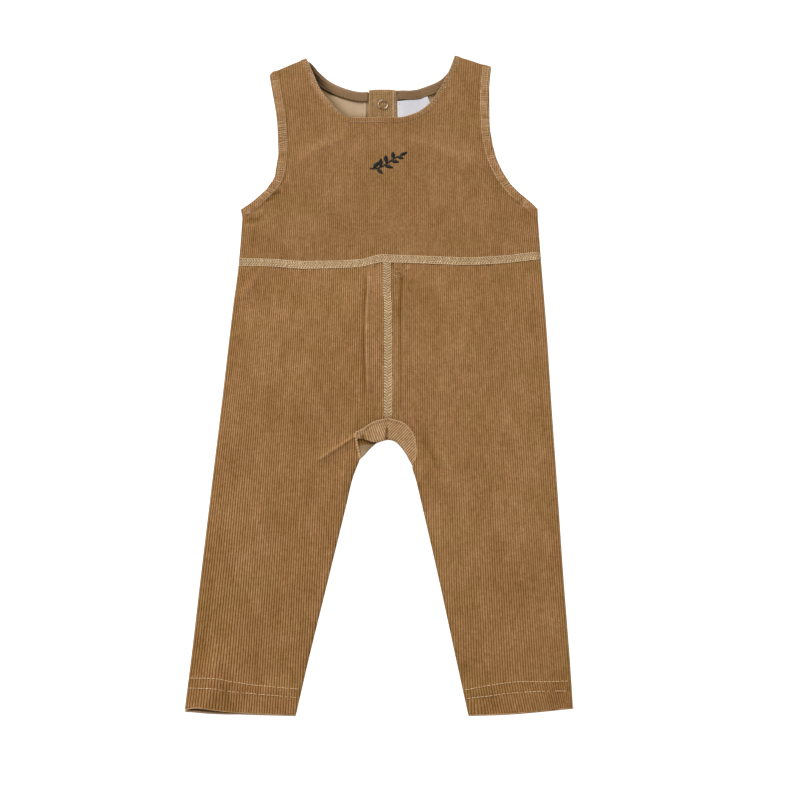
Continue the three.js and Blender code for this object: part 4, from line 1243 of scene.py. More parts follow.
def leg_blocks(side, layer, rows_up, rows_down):
    """Cells of one leg: the part above the notch that the gusset fills, and the part below it. The wales stay
    straight, and the inner outline cuts them."""
    right = side < 0
    outer_at = side_left if right else side_right
    inner_at = inner_right if right else inner_left
    gap = 0.04 * side
    line = waist if layer == "front" else back_waist
    hem = {
        (True, "front"): hem_front_right, (True, "back"): hem_back_right,
        (False, "front"): hem_front_left, (False, "back"): hem_back_left,
    }[(right, layer)]
    x_out = -131.1 if right else 132.0
    x_in = SEAM_X + gap
    # the notch's deepest point, and the tip of cloth below it
    x_cut, y_cut = (-24.0, -97.0) if right else (24.1, -110.5)
    x_tip, y_tip = (-20.2, -117.8) if right else (20.9, -121.5)
    hem_end = -59.4 if right else 57.9
    cuts = [x_out, x_cut, x_tip, x_in] if right else [x_in, x_tip, x_cut, x_out]
    x, u, keep = np.array([cuts[0]]), np.array([0.0]), np.array([True])
    for i, (p, q) in enumerate(zip(cuts, cuts[1:])):
        c = wale_columns(p, q, max(1, int(round((q - p) / WALE))), first_edge=i == 0, last_edge=i == 2)
        x = np.concatenate([x, c[0][1:]])
        u = np.concatenate([u, u[-1] + c[1][1:]])
        keep = np.concatenate([keep, c[2][1:]])
    arch = inverse(inner_at, y_cut, -83.6)
    notch = inverse(inner_at, y_tip, y_cut)
    inseam = inverse(inner_at, -300.0, y_tip)
    inside = (lambda v: v > x_cut + 1e-9) if right else (lambda v: v < x_cut - 1e-9)

    def foot(xx):
        under_leg = xx <= hem_end if right else xx >= hem_end
        return np.where(under_leg, hem(xx), inseam(xx))

    def shifted(xx, y):
        out = (outer_at(y) - x_out) * ease(34, 0, np.abs(xx - x_out))
        centre = (inner_at(np.maximum(y, -83.6)) + gap - x_in) * ease(22, 0, np.abs(xx - x_in)) * ease(-90, -83.6, y)
        return xx + out + centre

    # upper block
    y0, y1 = np.where(inside(x), arch(x), y_cut), line(x) - 0.05
    up = spread_rows(y0, y1, np.where(inside(x), slopes(x, y0), 0.0), slopes(x, y1), rows_up)
    xx = np.broadcast_to(x, up.shape)
    blocks = [(shifted(xx, up), up, keep)]
    # lower block, out to the tip
    k = x <= x_tip + 1e-9 if right else x >= x_tip - 1e-9
    xd, kd = x[k], keep[k].copy()
    kd[0] = kd[-1] = True
    y0, y1 = foot(xd), np.where(inside(xd), notch(xd), y_cut)
    down = spread_rows(y0, y1, slopes(xd, y0), np.where(inside(xd), slopes(xd, y1), 0.0), rows_down)
    xx = np.broadcast_to(xd, down.shape)
    blocks.append((shifted(xx, down), down, kd))
    nominal = np.concatenate([np.broadcast_to(x, up.shape).ravel(), np.broadcast_to(xd, down.shape).ravel()])
    return blocks, (x, u), nominal


def make_leg(side, layer):
    right = side < 0
    front = layer == "front"
    blocks, (x, u), nominal = leg_blocks(side, layer, 58 if front else 30, 92 if front else 46)
    flat_p = np.concatenate([np.stack([b[0].ravel(), b[1].ravel()], 1) for b in blocks])
    p, quads, plain = weld(blocks)
    # the welded points in their first order give back each one's nominal column
    key = np.round(flat_p * 4000).astype(np.int64)
    _, first = np.unique(key, axis=0, return_index=True)
    px, py = p[:, 0], p[:, 1]
    nominal_u = np.interp(nominal[first], x, u)
    loops = boundary_loops(quads)
    edge = np.concatenate([p[loops[0]], p[loops[0][:1]]])
    d_edge, _ = curve_distance(edge, px, py, 2.5)
    hem = {(True, True): hem_front_right, (True, False): hem_back_right, (False, True): hem_front_left, (False, False): hem_back_left}[(right, front)]
    d_hem = py - hem(px)
    line = waist if front else back_waist
    d_waist = np.abs(py - line(px))
    outer_x = (side_left if right else side_right)(py)
    d_side = np.abs(px - outer_x)
    centre = (inner_right if right else inner_left)(py)
    d_centre = np.where(py > -84, np.abs(px - centre), 99.0)
    tone = tone_at(px, py)
    thick = np.full(px.shape, CLOTH)
    seed = (100 if right else 200) + (0 if front else 50)
    # turned hem with its stitch rows
    low_row, high_row = (reader(rows) for rows in HEM_LINES[right])
    over = (py - low_row(px), py - high_row(px)) if front else (d_hem - HEM_ROWS[0], d_hem - HEM_ROWS[1])
    hem_zone = ease(1.6, -0.6, over[1])
    thick += 0.45 * hem_zone
    # the tone paints shade into each sunk stitch row and a little over the hem, with random flecks
    for at in over:
        thick -= 0.30 * np.exp(-((at / 0.75) ** 2))
        tone -= 0.09 * np.exp(-((at / 0.8) ** 2))
    thick += hem_zone * 0.12 * noise(px / 3.2, seed + 0.5, seed) + 0.16 * noise(px / 6.0, py / 9, seed + 1) * ease(9, 0, over[1])
    tone -= 0.045 * ease(1, -1, over[1])
    tone += 0.05 * noise(px / 1.7, py / 2.4, seed + 8) * ease(4, -1, over[1])
    # pressed under the seams, drawn up in puckers beside them
    pull = ease(13, 3.3, d_waist)
    pucker = pull * (0.15 * noise(px / 1.9, 84.0, 84) + 0.17 * noise(px / 4.9, 85.0, 85))
    pull_c = ease(9, 3.3, d_centre)
    pucker = pucker + pull_c * (0.12 * noise(py / 2.2, 86.0, 86) + 0.10 * noise(py / 6.0, 87.0, 87))
    tone += 0.07 * noise(px / 1.8, 88.0, 88) * pull
    near = np.minimum(d_waist, d_centre)
    press = -0.30 * ease(2.6, 1.0, near) + 0.16 * np.exp(-(((near - 4.1) / 0.8) ** 2))
    flat = ease(2.8, 1.8, near)
    ribs = RIB * (rib(nominal_u) - 0.72) * (1 - flat) * (0.9 + 0.16 * noise(px / 11, py / 15, seed + 2))
    # the inseam edge rolls over towards the back
    inseam = np.where(py < -118, np.abs(px - (inner_right if right else inner_left)(py)), 99.0)
    stray = wander(px, py, seed + 3) * ease(0.0, 5.0, d_side) * ease(0.0, 5.0, inseam)
    if front and not right:
        stray = stray + 0.17 * np.clip(-over[1], 0, 40) * ease(0.0, 11.0, d_side) * ease(0.0, 11.0, inseam)
    sx = px + stray
    if front:
        base = front_base(px, py)
        z = base + thick + pucker + press + ribs - round_off(d_edge, 0.95)
        # at the sides and inseams the front rolls down to the back layer
        low = np.minimum(d_side, inseam)
        z -= 0.35 * ease(2.2, 0.0, low)
        under = base + 0.28 * ease(0.9, 0.0, d_edge)
        # painted shade where the front rolls down at the sides and inseams, and a pale line along the hem's fold
        tone -= 0.05 * ease(3.0, 0.5, low) + 0.18 * ease(0.8, 0.1, low)
        tone += 0.34 * np.exp(-(((d_hem - 0.1) / 0.5) ** 2))
        outer = np.stack([sx, py, z], 1)
        inner = np.stack([sx, py, under], 1)
        mats = (0, 1, 0)
    else:
        lift = 0.35 * np.clip(noise(px / 30, py / 55, seed + 4), 0, 1) * ease(0, 12, d_side)
        z = lift + 0.02 - (ribs - 0.28 * RIB) - 0.12 * hem_zone * 0 + round_off(d_edge, 0.7)
        z = np.maximum(z - pucker * 0.5, 0.0)
        z = np.maximum(z, 0.96 * ease(4.6, 3.4, near))
        under = np.maximum(z.max() * 0 + lift + CLOTH + 0.25 - round_off(d_edge, 0.6), z + 0.35)
        under = np.minimum(under, LAYER - 0.06)
        outer = np.stack([sx, py, z], 1)
        inner = np.stack([sx, py, under], 1)
        mats = (0, 1, 0)
        # deep in the hem's opening it is dark, and only the turned edge catches light
        if right:
            shade = tone * 0 - 0.86 * ease(0.5, 1.1, d_hem) * ease(14, 6, d_hem) * ease(-88, -100, px) * ease(-133.6, -131.5, px)
        else:
            shade = tone * 0 - 0.6 * ease(0.3, 0.9, d_hem) * ease(14, 6, d_hem)
        tone = 0.8 * (tone - tone_at(px, py)) + 0.05 * noise(px / 18, py / 20, seed + 6)
    parts = Parts()
    cord = np.stack([nominal_u, py / 10], 1)
    closed_panel(parts, quads, plain, outer, inner, cord, cord, tone, not front, mats, p, None if front else shade)
    name = f"{layer}_leg_{'right' if right else 'left'}_cloth"
    return parts.build(name, [(CORD_LEG_R if right else CORD_LEG_L) if front else CORD_BACK, LINING])



# ---------------------------------------------------------------- back bodice


def make_back_bodice(side):
    right = side < 0
    end = BAND_LEFT + BAND_SHIFT - 0.1 if right else BAND_RIGHT + 0.1
    under_at = back_right_under if right else back_left_under
    if right:
        a = wale_columns(-131.3, -101.4, 17, first_edge=True)
        b = wale_columns(-101.4, end, int(round((end + 101.4) / WALE)), last_edge=True)
    else:
        a = wale_columns(end, 96.2, int(round((96.2 - end) / WALE)), first_edge=True)
        b = wale_columns(96.2, 134.9, 22, last_edge=True)
    x = np.concatenate([a[0], b[0][1:]])
    u = np.concatenate([a[1], a[1][-1] + b[1][1:]])
    keep = np.concatenate([a[2], b[2][1:]])
    blocks, (xu, upper, ku) = bodice_blocks(neck=neck_back, waist_line=back_waist, columns=(x, u, keep), lower_rows=26, upper_rows=30)
    blocks.append((np.broadcast_to(xu, upper.shape), upper, ku))
    p, quads, plain = weld(blocks)
    px, py = p[:, 0], p[:, 1]
    nominal_u = np.interp(px, x, u)
    loops = boundary_loops(quads)
    edge = np.concatenate([p[loops[0]], p[loops[0][:1]]])
    d_edge, _ = curve_distance(edge, px, py, 2.5)
    d_arm, s_arm = curve_distance(CURVE_ARM_LEFT if right else CURVE_ARM_RIGHT, px, py, 18)
    d_neck, s_neck = curve_distance(CURVE_NECK_BACK, px, py, 16)
    d_side = np.abs(px - (side_left if right else side_right)(py))
    seed = 300 if right else 330
    under = under_at(px, py)
    lift = 0.3 * np.clip(noise(px / 34, py / 50, seed), 0, 1) * ease(0, 12, d_side) * ease(212, 190, py)
    ribs = RIB * (rib(nominal_u) - 1.0)
    z = under + lift - ribs + round_off(d_edge, 0.7)
    for d, s in ((d_arm, s_arm), (d_neck, s_neck)):
        z += 0.14 * np.exp(-(((d - 7.4) / 0.8) ** 2)) * (1 + 0.4 * np.sin(2 * math.pi * s / 2.5))
    z = np.maximum(z, 0.96 * ease(4.6, 3.4, py - back_waist(px)))
    top = under + lift + CLOTH + 0.1 * noise(px / 22, py / 26, seed + 5) * ease(0, 10, d_edge)
    top = np.maximum(top - round_off(d_edge, 0.6), z + 0.35)
    # where the front lies over it, the back stays below the front's underside
    top = np.where(py < neck_front(np.clip(px, -81, 65.6)) - 3, np.minimum(top, front_under(px, py) - 0.1), top)
    tone = 0.05 * noise(px / 18, py / 20, seed + 6)
    # the shade that gathers where the front's neck edge lies over it, and under the tape
    d_front, _ = curve_distance(CURVE_NECK_FRONT, px, py, 22)
    inside_tone = -(0.62 if right else 0.34) * np.exp(-(((d_front) / 6.5) ** 2)) - 0.06 * ease(20, 10, d_neck)
    inside_tone = inside_tone - 0.42 * ease(3.4, 1.6, d_neck)
    inside_tone = inside_tone - 0.5 * np.exp(-(((d_neck - 11.2) / 0.9) ** 2)) * (ease(-50, -58, px) if right else 0.5)
    if right:
        # painted shade towards the left along the front's edge, and in the slot a painted shadow beside the band's
        # edge, a pale line and a fainter dark line
        inside_tone = inside_tone - 0.14 * ease(-44, -66, px)
        slot = py > 200
        inside_tone = inside_tone - 0.72 * np.exp(-(((px + 19.9) / 0.85) ** 2)) * slot + 0.12 * np.exp(-(((px + 22.1) / 0.7) ** 2)) * slot
        inside_tone = inside_tone - 0.14 * np.exp(-(((px + 24.3) / 0.6) ** 2)) * slot
        top = top + 0.3 * np.exp(-(((px + 22.1) / 0.8) ** 2)) * slot
    inside_tone = np.maximum(inside_tone, -0.80)
    outer = np.stack([px, py, z], 1)
    inner = np.stack([px, py, top], 1)
    parts = Parts()
    cord = np.stack([nominal_u, py / 10], 1)
    # the outer face takes the painted shade within about a millimetre of its edge, where the rim meets the inner face
    at_edge = tone + inside_tone * ease(1.2, 0.2, d_edge)
    closed_panel(parts, quads, plain, outer, inner, cord, cord, at_edge, True, (0, 1, 0), p, tone + inside_tone)
    return parts.build(f"back_bodice_{'right' if right else 'left'}_cloth", [CORD_BACK, LINING])


# ---------------------------------------------------------------- bands of the back opening


def make_band(inner_band):
    shift = 0.0 if inner_band else BAND_SHIFT
    x0, x1 = BAND_LEFT + shift, BAND_RIGHT + shift
    under_at = inner_band_under if inner_band else outer_band_under
    x, u, keep = wale_columns(x0, x1, 15, first_edge=True, last_edge=True)
    share = (x - x0) / (x1 - x0)
    corner = 1.6 * np.abs(2 * share - 1) ** 4
    y0, y1 = back_waist(x) + 0.05, BAND_TOP - corner
    rows = spread_rows(y0, y1, slopes(x, y0), slopes(x, y1), 130)
    xx = np.broadcast_to(x, rows.shape)
    p, quads, plain = weld([(xx, rows, keep)])
    px, py = p[:, 0], p[:, 1]
    nominal_u = np.interp(px, x, u)
    loops = boundary_loops(quads)
    edge = np.concatenate([p[loops[0]], p[loops[0][:1]]])
    d_edge, _ = curve_distance(edge, px, py, 2.5)
    base = under_at(px, py)
    d_left, d_right, d_top = px - x0, x1 - px, BAND_TOP - py
    tone = np.zeros(px.shape)
    seed = 400 if inner_band else 430
    # turned edges and the line of stitching beside each
    turn = np.zeros(px.shape)
    for d, at in ((d_left, 3.4), (d_top, 5.2)):
        turn += 0.24 * ease(at + 0.8, at - 0.4, d) - 0.30 * np.exp(-(((d - at) / 0.55) ** 2))
        # the tone: each turned edge paler, painted shade along its stitch line, pale lines at the left and right edges,
        # the top edge darker
        tone += 0.08 * ease(at + 0.5, at - 0.5, d) - 0.16 * np.exp(-(((d - at) / 0.7) ** 2))
    tone += 0.12 * np.exp(-((d_left / 1.0) ** 2)) + 0.10 * np.exp(-(((d_right - 1.2) / 1.0) ** 2)) - 0.12 * np.exp(-((d_top / 1.3) ** 2))
    turn += 0.16 * noise(py / 1.5, px / 5, seed) * ease(7.0, 4.0, d_right)
    tone += 0.16 * noise(py / 1.25, px / 2.5, seed + 1) * ease(8.5, 5.0, d_right)
    ribs = RIB * (rib(nominal_u) - 0.8)
    # the cloth is pressed in a ring under each snap
    for i in range(SNAP_COUNT):
        r = np.hypot(px - SNAP_X, py - (SNAP_TOP_Y - i * SNAP_PITCH))
        turn -= 0.30 * np.exp(-(((r - 4.2) / 1.3) ** 2))
        turn += 0.16 * np.exp(-((r / 2.4) ** 2))
        # painted shade just outside each snap ring
        tone -= 0.12 * np.exp(-(((r - 5.4) / 0.7) ** 2))
    if inner_band:
        z = base + CLOTH + turn + ribs - round_off(d_edge, 0.75)
        z = np.minimum(z, base + CLOTH + 0.25)
        under = base + 0.2 * ease(0.9, 0, d_edge)
        hide = py < neck_front(np.clip(px, -81, 65.6)) - 3
        z = np.where(hide, np.minimum(z, front_under(px, py) - 0.12), z)
        outer = np.stack([px, py, z], 1)
        inner = np.stack([px, py, under], 1)
    else:
        z = base - turn * 0.6 - ribs + round_off(d_edge, 0.7) - 0.05
        z = np.maximum(z, 0.96 * ease(4.6, 3.4, py - back_waist(px)))
        top = base + CLOTH - 0.15 * ease(0.9, 0, d_edge)
        outer = np.stack([px, py, z], 1)
        inner = np.stack([px, py, top], 1)
    parts = Parts()
    cord = np.stack([nominal_u, py / 10], 1)
    closed_panel(parts, quads, plain, outer, inner, cord, cord, tone, not inner_band, (0, 1, 0), p)
    return parts.build("button_band_inner_cloth" if inner_band else "button_band_outer_cloth", [CORD_BAND, LINING])


# ---------------------------------------------------------------- crotch gusset
# Along the arch from the wearer's right leg: seam edge, edge of the front layer, edge of the back layer.
GUSSET = [
    (-23.75, -98.6, -23.0, -101.4, -20.15, -117.4), (-21.8, -96.5, -20.6, -100.6, -18.2, -115.8),
    (-18.6, -93.9, -17.2, -100.9, -16.0, -113.5), (-15.2, -91.1, -13.6, -102.3, -13.4, -110.2),
    (-11.4, -88.4, -10.0, -103.5, -10.2, -106.7), (-7.2, -86.4, -6.8, -103.3, -7.0, -103.9),
    (-3.0, -85.0, -3.3, -102.2, -3.3, -102.3), (0.5, -84.2, 0.4, -101.1, 0.4, -101.2),
    (2.6, -84.1, 1.9, -100.9, 1.9, -101.0), (7.6, -85.3, 3.6, -101.0, 3.6, -101.1),
    (12.4, -87.0, 6.0, -101.5, 6.0, -101.6), (17.0, -90.7, 8.4, -102.9, 8.4, -103.0),
    (20.4, -95.2, 10.8, -105.3, 10.8, -105.4), (22.8, -101.0, 13.0, -108.1, 13.0, -108.2),
    (23.75, -106.5, 14.9, -110.9, 14.9, -111.0), (23.95, -111.8, 16.7, -114.0, 16.7, -114.1),
    (23.3, -117.2, 18.5, -117.6, 18.5, -117.7), (22.35, -119.3, 19.7, -119.8, 19.7, -119.9),
    (21.45, -121.0, 20.55, -121.5, 20.55, -121.6),
]


def make_gusset():
    g = np.array(GUSSET, float)
    middle = 0.5 * (g[:, 0:2] + g[:, 2:4])
    run = np.concatenate([[0], np.cumsum(np.hypot(*(middle[1:] - middle[:-1]).T))])
    wales = int(round(run[-1] / WALE))
    s, u, keep = wale_columns(0, run[-1], wales, first_edge=True, last_edge=True)
    cols = [reader(list(zip(run, g[:, k])))(s) for k in range(6)]
    seam, tuck, fold = (np.stack(cols[i : i + 2], 1) for i in (0, 2, 4))
    arch = inverse(inner_right, -97.0, -83.6)(np.clip(seam[:, 0], -23.6, SEAM_X))
    arch = np.where(seam[:, 0] < SEAM_X, arch, inverse(inner_left, -110.4, -83.6)(np.clip(seam[:, 0], SEAM_X, 24.0)))
    follow = ease(-23.75, -22.9, seam[:, 0]) * ease(-112.0, -109.5, seam[:, 1])
    seam[:, 1] = lerp(seam[:, 1], arch - 0.05, follow)
    long1 = np.linalg.norm(tuck - seam, axis=1)
    long2 = np.linalg.norm(fold - tuck, axis=1)
    e = np.clip(long1 / 2.2, 0, 1)
    tongue = ease(0.6, 3.0, long2)
    top = front_top(seam[:, 0], seam[:, 1]) - 0.1
    # the outline of a cut across the gusset: share of the way from the seam to the front layer's edge, then on to
    # the back layer's edge, and the height
    outline = []  # (reach on the first stretch in mm from its end, reach on the second, height)
    fine = 14
    for i in range(fine):
        t = i / (fine - 1)
        outline.append(("a", t))
    rows_r, rows_z, rows_2 = [], [], []
    inner_r, inner_z = [], []
    one = np.ones_like(long1)
    # front layer, from the seam
    for t in np.concatenate([[0, 0.02, 0.05], np.linspace(0.075, 0.90, 57)]):
        rows_r.append((long1 - 0.9 * e) * t)
        rows_2.append(0 * one)
        rows_z.append(top * one - 0.25 * t)
        inner_r.append(np.maximum(long1 - 1.7, 0.3 * e) * t)
        inner_z.append(top - 1.15 - 0.2 * t)
    # over its edge
    for k, (dr, dz) in enumerate(((-0.55, -0.32), (-0.22, -0.58), (-0.05, -0.88), (0.0, -1.15))):
        rows_r.append(long1 + dr * e)
        rows_2.append(0 * one)
        rows_z.append(top + dz)
        inner_r.append(np.maximum(long1 - 1.6, 0.3 * e) + 0.05 * k * e)
        inner_z.append(top - 1.35 - 0.06 * k)
    # under it and out along the back layer
    for dr, w, zz in ((-0.5, 0.0, 1.62), (-0.3, 0.12, 1.46)):
        rows_r.append(long1 + dr * tongue)
        rows_2.append(long2 * w)
        rows_z.append(np.where(tongue > 0.02, lerp(np.minimum(top - 1.3, 1.7), zz, tongue), np.minimum(top - 1.3, 1.7)))
        inner_r.append(np.maximum(long1 - 1.5, 0.5 * e))
        inner_z.append(lerp(1.62, 1.58, w) * one)
    for w, zz in ((0.35, 1.42), (0.6, 1.40), (0.82, 1.34), (0.94, 1.12), (1.0, 0.72), (0.97, 0.34), (0.88, 0.10)):
        rows_r.append(long1 + (1 - tongue) * np.interp(w, [0.35, 0.94, 1.0], [0.0, -0.05, -0.1]))
        rows_2.append(long2 * w)
        rows_z.append(zz * one)
        inner_r.append(np.maximum(long1 - 1.5, 0.5 * e))
        inner_z.append(np.interp(w, [0.35, 1.0], [1.5, 1.3]) * one - (0.02 if w < 0.97 else 0.04))
    # back layer under the front one, back to its own seam
    for t in (0.9, 0.7, 0.45, 0.2, 0.06, 0.0):
        rows_r.append((long1 - 0.6 * e) * t)
        rows_2.append(0 * one)
        rows_z.append(0.03 * one)
        inner_r.append(np.maximum(long1 - 1.7, 0.3 * e) * t)
        inner_z.append(1.22 * one)
    R, R2, Z = np.array(rows_r), np.array(rows_2), np.array(rows_z)
    IR, IZ = np.array(inner_r), np.array(inner_z)
    d1 = (tuck - seam) / long1[:, None]
    d2 = (fold - tuck) / np.maximum(long2, 1e-6)[:, None]
    lead = R[..., None] * d1[None] + R2[..., None] * d2[None]
    xy = seam[None] + lead
    ixy = seam[None] + IR[..., None] * d1[None]
    nrow, ncol = R.shape
    front_rows = 60
    across = np.clip(R / long1[None], 0, 1)
    gx, gy = xy[..., 0], xy[..., 1]
    split = 1.3 - (gy + 84.5) * 0.02
    on_left = gx < split
    a_left, a_right = math.radians(68 + 4), math.radians(47)
    across_left = (gx - 1.3) * math.sin(a_left) + (gy + 93) * math.cos(a_left)
    across_right = (gx - 1.3) * math.sin(a_right) - (gy + 93) * math.cos(a_right)
    u = np.where(on_left, across_left + 0.012 * (gx + 8) * (gy + 93), across_right) / 1.72 + 40
    ribs = RIB * 1.15 * (rib(u) - 0.8)
    weight = np.ones((nrow, 1))
    weight[:3, 0] = (0.2, 0.5, 0.8)
    weight[front_rows + 5 :, 0] = 0.0
    Z = Z + ribs * weight * np.where(np.arange(nrow)[:, None] < front_rows + 12, 1, -1)
    # the ridge of the seam allowance beside the seam, and the pinch at the middle of the arch
    row_no = np.arange(nrow)[:, None]
    is_front = row_no < front_rows + 2
    Z = Z + np.where(is_front, 0.40 * np.exp(-(((R - 0.9) / 1.0) ** 2)) - 0.12 * np.exp(-(((R - 2.8) / 0.9) ** 2)), 0)
    mid_s = np.interp(1.3, cols[0], s)
    pinch = np.exp(-(((s[None] - mid_s) / (0.55 + 0.75 * across)) ** 2)) * ease(0.15, 0.7, across)
    Z = Z - np.where(is_front, 1.3 * pinch, 0)
    swell = 0.35 * np.exp(-((((s - mid_s + 3.2) / 2.4)) ** 2))[None] + 0.3 * np.exp(-((((s - mid_s - 3.2) / 2.4)) ** 2))[None]
    Z = Z + np.where(is_front, swell * ease(0.1, 0.6, across), 0)
    dark_left = 1.0 * np.exp(-((((s - np.interp(-18.6, cols[0], s)) / 2.0)) ** 2))[None] * ease(0.30, 0.85, across)
    Z = Z - np.where(is_front, dark_left, 0)
    # gathers across the left half
    gather = 0.16 * np.sin(2 * math.pi * s / 3.1 + 0.8)[None] * ease(mid_s - 1, mid_s - 4, s)[None] * ease(0.15, 0.5, across)
    Z = Z + np.where(is_front, gather, 0)
    Z = np.maximum(Z, 0.0)
    parts = Parts()
    grid = np.arange(nrow * ncol).reshape(nrow, ncol)
    # rows run from the seam outwards (down), so turn them over to have columns and rows right-handed
    xy, Z, ixy, IZ = xy[::-1], Z[::-1], ixy[::-1], IZ[::-1]
    # welded already: one block
    quads = np.stack([grid[:-1, :-1], grid[:-1, 1:], grid[1:, 1:], grid[1:, :-1]], -1).reshape(-1, 4)
    kk = grid[:, np.flatnonzero(keep)]
    plain = np.stack([kk[:-1, :-1], kk[:-1, 1:], kk[1:, 1:], kk[1:, :-1]], -1).reshape(-1, 4)
    outer = np.concatenate([xy, Z[..., None]], -1).reshape(-1, 3)
    inner = np.concatenate([ixy, IZ[..., None]], -1).reshape(-1, 3)
    reach = np.cumsum(np.concatenate([[0], np.ones(nrow - 1)]))
    cord = np.stack(np.broadcast_arrays(u[::-1], (R + R2)[::-1] / 10), -1).reshape(-1, 2)
    front_mask = (np.arange(nrow)[:, None] < front_rows + 4)[::-1]
    # painted light and shade: a pale line beside the seam, the layers past the front's edge darkened in its shade, the
    # left half a little paler, painted shade in the pinch and in the fold on the left
    tone = np.where(front_mask, 0.02 + 0.10 * np.exp(-((R[::-1] / 0.8) ** 2)), -0.52)
    tone = tone + np.where(front_mask, 0.07 * ease(2.5, -1.5, xy[..., 0]) + 0.05 * noise(xy[..., 0] / 2.6, xy[..., 1] / 2.6, 977), 0)
    tone = tone - np.where(front_mask, 0.78 * pinch[::-1] + 0.68 * dark_left[::-1], 0)
    # the fold's lower lip on the left half is pale, and the layer under it lies in its shadow
    lip = np.exp(-(((R[::-1] / long1[None] - 0.93) / 0.10) ** 2)) * ease(-1, -4, xy[..., 0]) * ease(-17, -13, xy[..., 0])
    tone = tone + np.where(front_mask, 0.16 * lip, 0)
    shaded = np.exp(-((R2[::-1] / 2.2) ** 2)) * (tongue[None] > 0.02)
    tone = tone - np.where(front_mask, 0, 0.34 * shaded) + np.where(front_mask, 0, 0.26 * ease(6.5, 13.5, R2[::-1]))
    plane = np.stack(np.broadcast_arrays(s[None], np.linspace(0, 40, nrow)[:, None]), -1).reshape(-1, 2)
    # what shows of the back layer, past the fold on the wearer's right, is its flat inner face
    behind = np.repeat((np.arange(nrow - 1)[::-1] >= front_rows + 6) & (np.arange(nrow - 1)[::-1] < nrow - 8), ncol - 1)
    closed_panel(parts, quads, plain, outer, inner, cord, cord, tone.ravel(), False, (0, 1, 0), plane)
    mats = parts.mat[0].copy()
    mats[behind[: len(mats)]] = 1
    parts.mat[0] = mats
    return parts.build("crotch_gusset_cloth", [CORD_GUSSET, LINING])


def make_gusset_roll():
    """The rolled seam edge round the gusset: fat beside the right leg, fine along the arch."""
    ya = np.linspace(-118.2, -97.6, 26)
    left = np.stack([inner_right(ya) + 0.25, ya], 1)
    xa = np.linspace(-23.2, 23.2, 90)
    top_y = np.where(xa < SEAM_X, inverse(inner_right, -97.0, -83.6)(np.minimum(xa, SEAM_X)), inverse(inner_left, -103.0, -83.6)(np.maximum(xa, SEAM_X)))
    arch = np.stack([xa, top_y - 0.15], 1)
    yb = np.linspace(-104.0, -120.6, 24)
    right = np.stack([inner_left(yb) - 0.15, yb], 1)
    c = resample(np.concatenate([left, arch, right]), 0.42)
    for _ in range(3):
        c[1:-1] = 0.25 * c[:-2] + 0.5 * c[1:-1] + 0.25 * c[2:]
    run = np.concatenate([[0], np.cumsum(np.hypot(*(c[1:] - c[:-1]).T))])
    fat = ease(27, 17, run)
    r = lerp(0.58, 0.98, fat) * (1 + 0.22 * np.sin(2 * math.pi * run / 2.3) + 0.14 * noise(run / 3.0, 1.5, 960))
    r = r * ease(-0.5, 2.0, run) * ease(run[-1] + 0.5, run[-1] - 2.0, run)
    corner = np.exp(-((((c[:, 0] + 22.6) / 2.2)) ** 2) - (((c[:, 1] + 96.6) / 2.2) ** 2))
    r = r * (1 + 0.25 * corner)
    z = front_top(c[:, 0], c[:, 1]) - lerp(0.20, 0.72, fat)
    parts = Parts()
    # the roll is painted pale: a painted highlight along the rolled seam edge
    tubes(parts, np.stack([c[:, 0], c[:, 1], z], 1), r, sides=8, tone=0.42)
    return parts.build("crotch_gusset_rolled_seam", [ROLL])


# ---------------------------------------------------------------- tape, label


def plain_panel(x2, y2, top, under, name, mats, uv, tone=None):
    """A closed wall over a grid, for narrow smooth pieces."""
    rows, cols = x2.shape
    grid = np.arange(rows * cols).reshape(rows, cols)
    quads = np.stack([grid[:-1, :-1], grid[:-1, 1:], grid[1:, 1:], grid[1:, :-1]], -1).reshape(-1, 4)
    outer = np.stack([x2, y2, top], -1).reshape(-1, 3)
    inner = np.stack([x2, y2, under], -1).reshape(-1, 3)
    parts = Parts()
    tone = np.zeros(rows * cols) if tone is None else np.broadcast_to(tone, x2.shape).ravel()
    plane = np.stack(np.broadcast_arrays(np.arange(cols)[None] / cols, np.arange(rows)[:, None] / rows), -1).reshape(-1, 2)
    closed_panel(parts, quads, quads, outer, inner, uv.reshape(-1, 2), uv.reshape(-1, 2), tone, False, (0, 0, 0), plane)
    return parts, mats, name


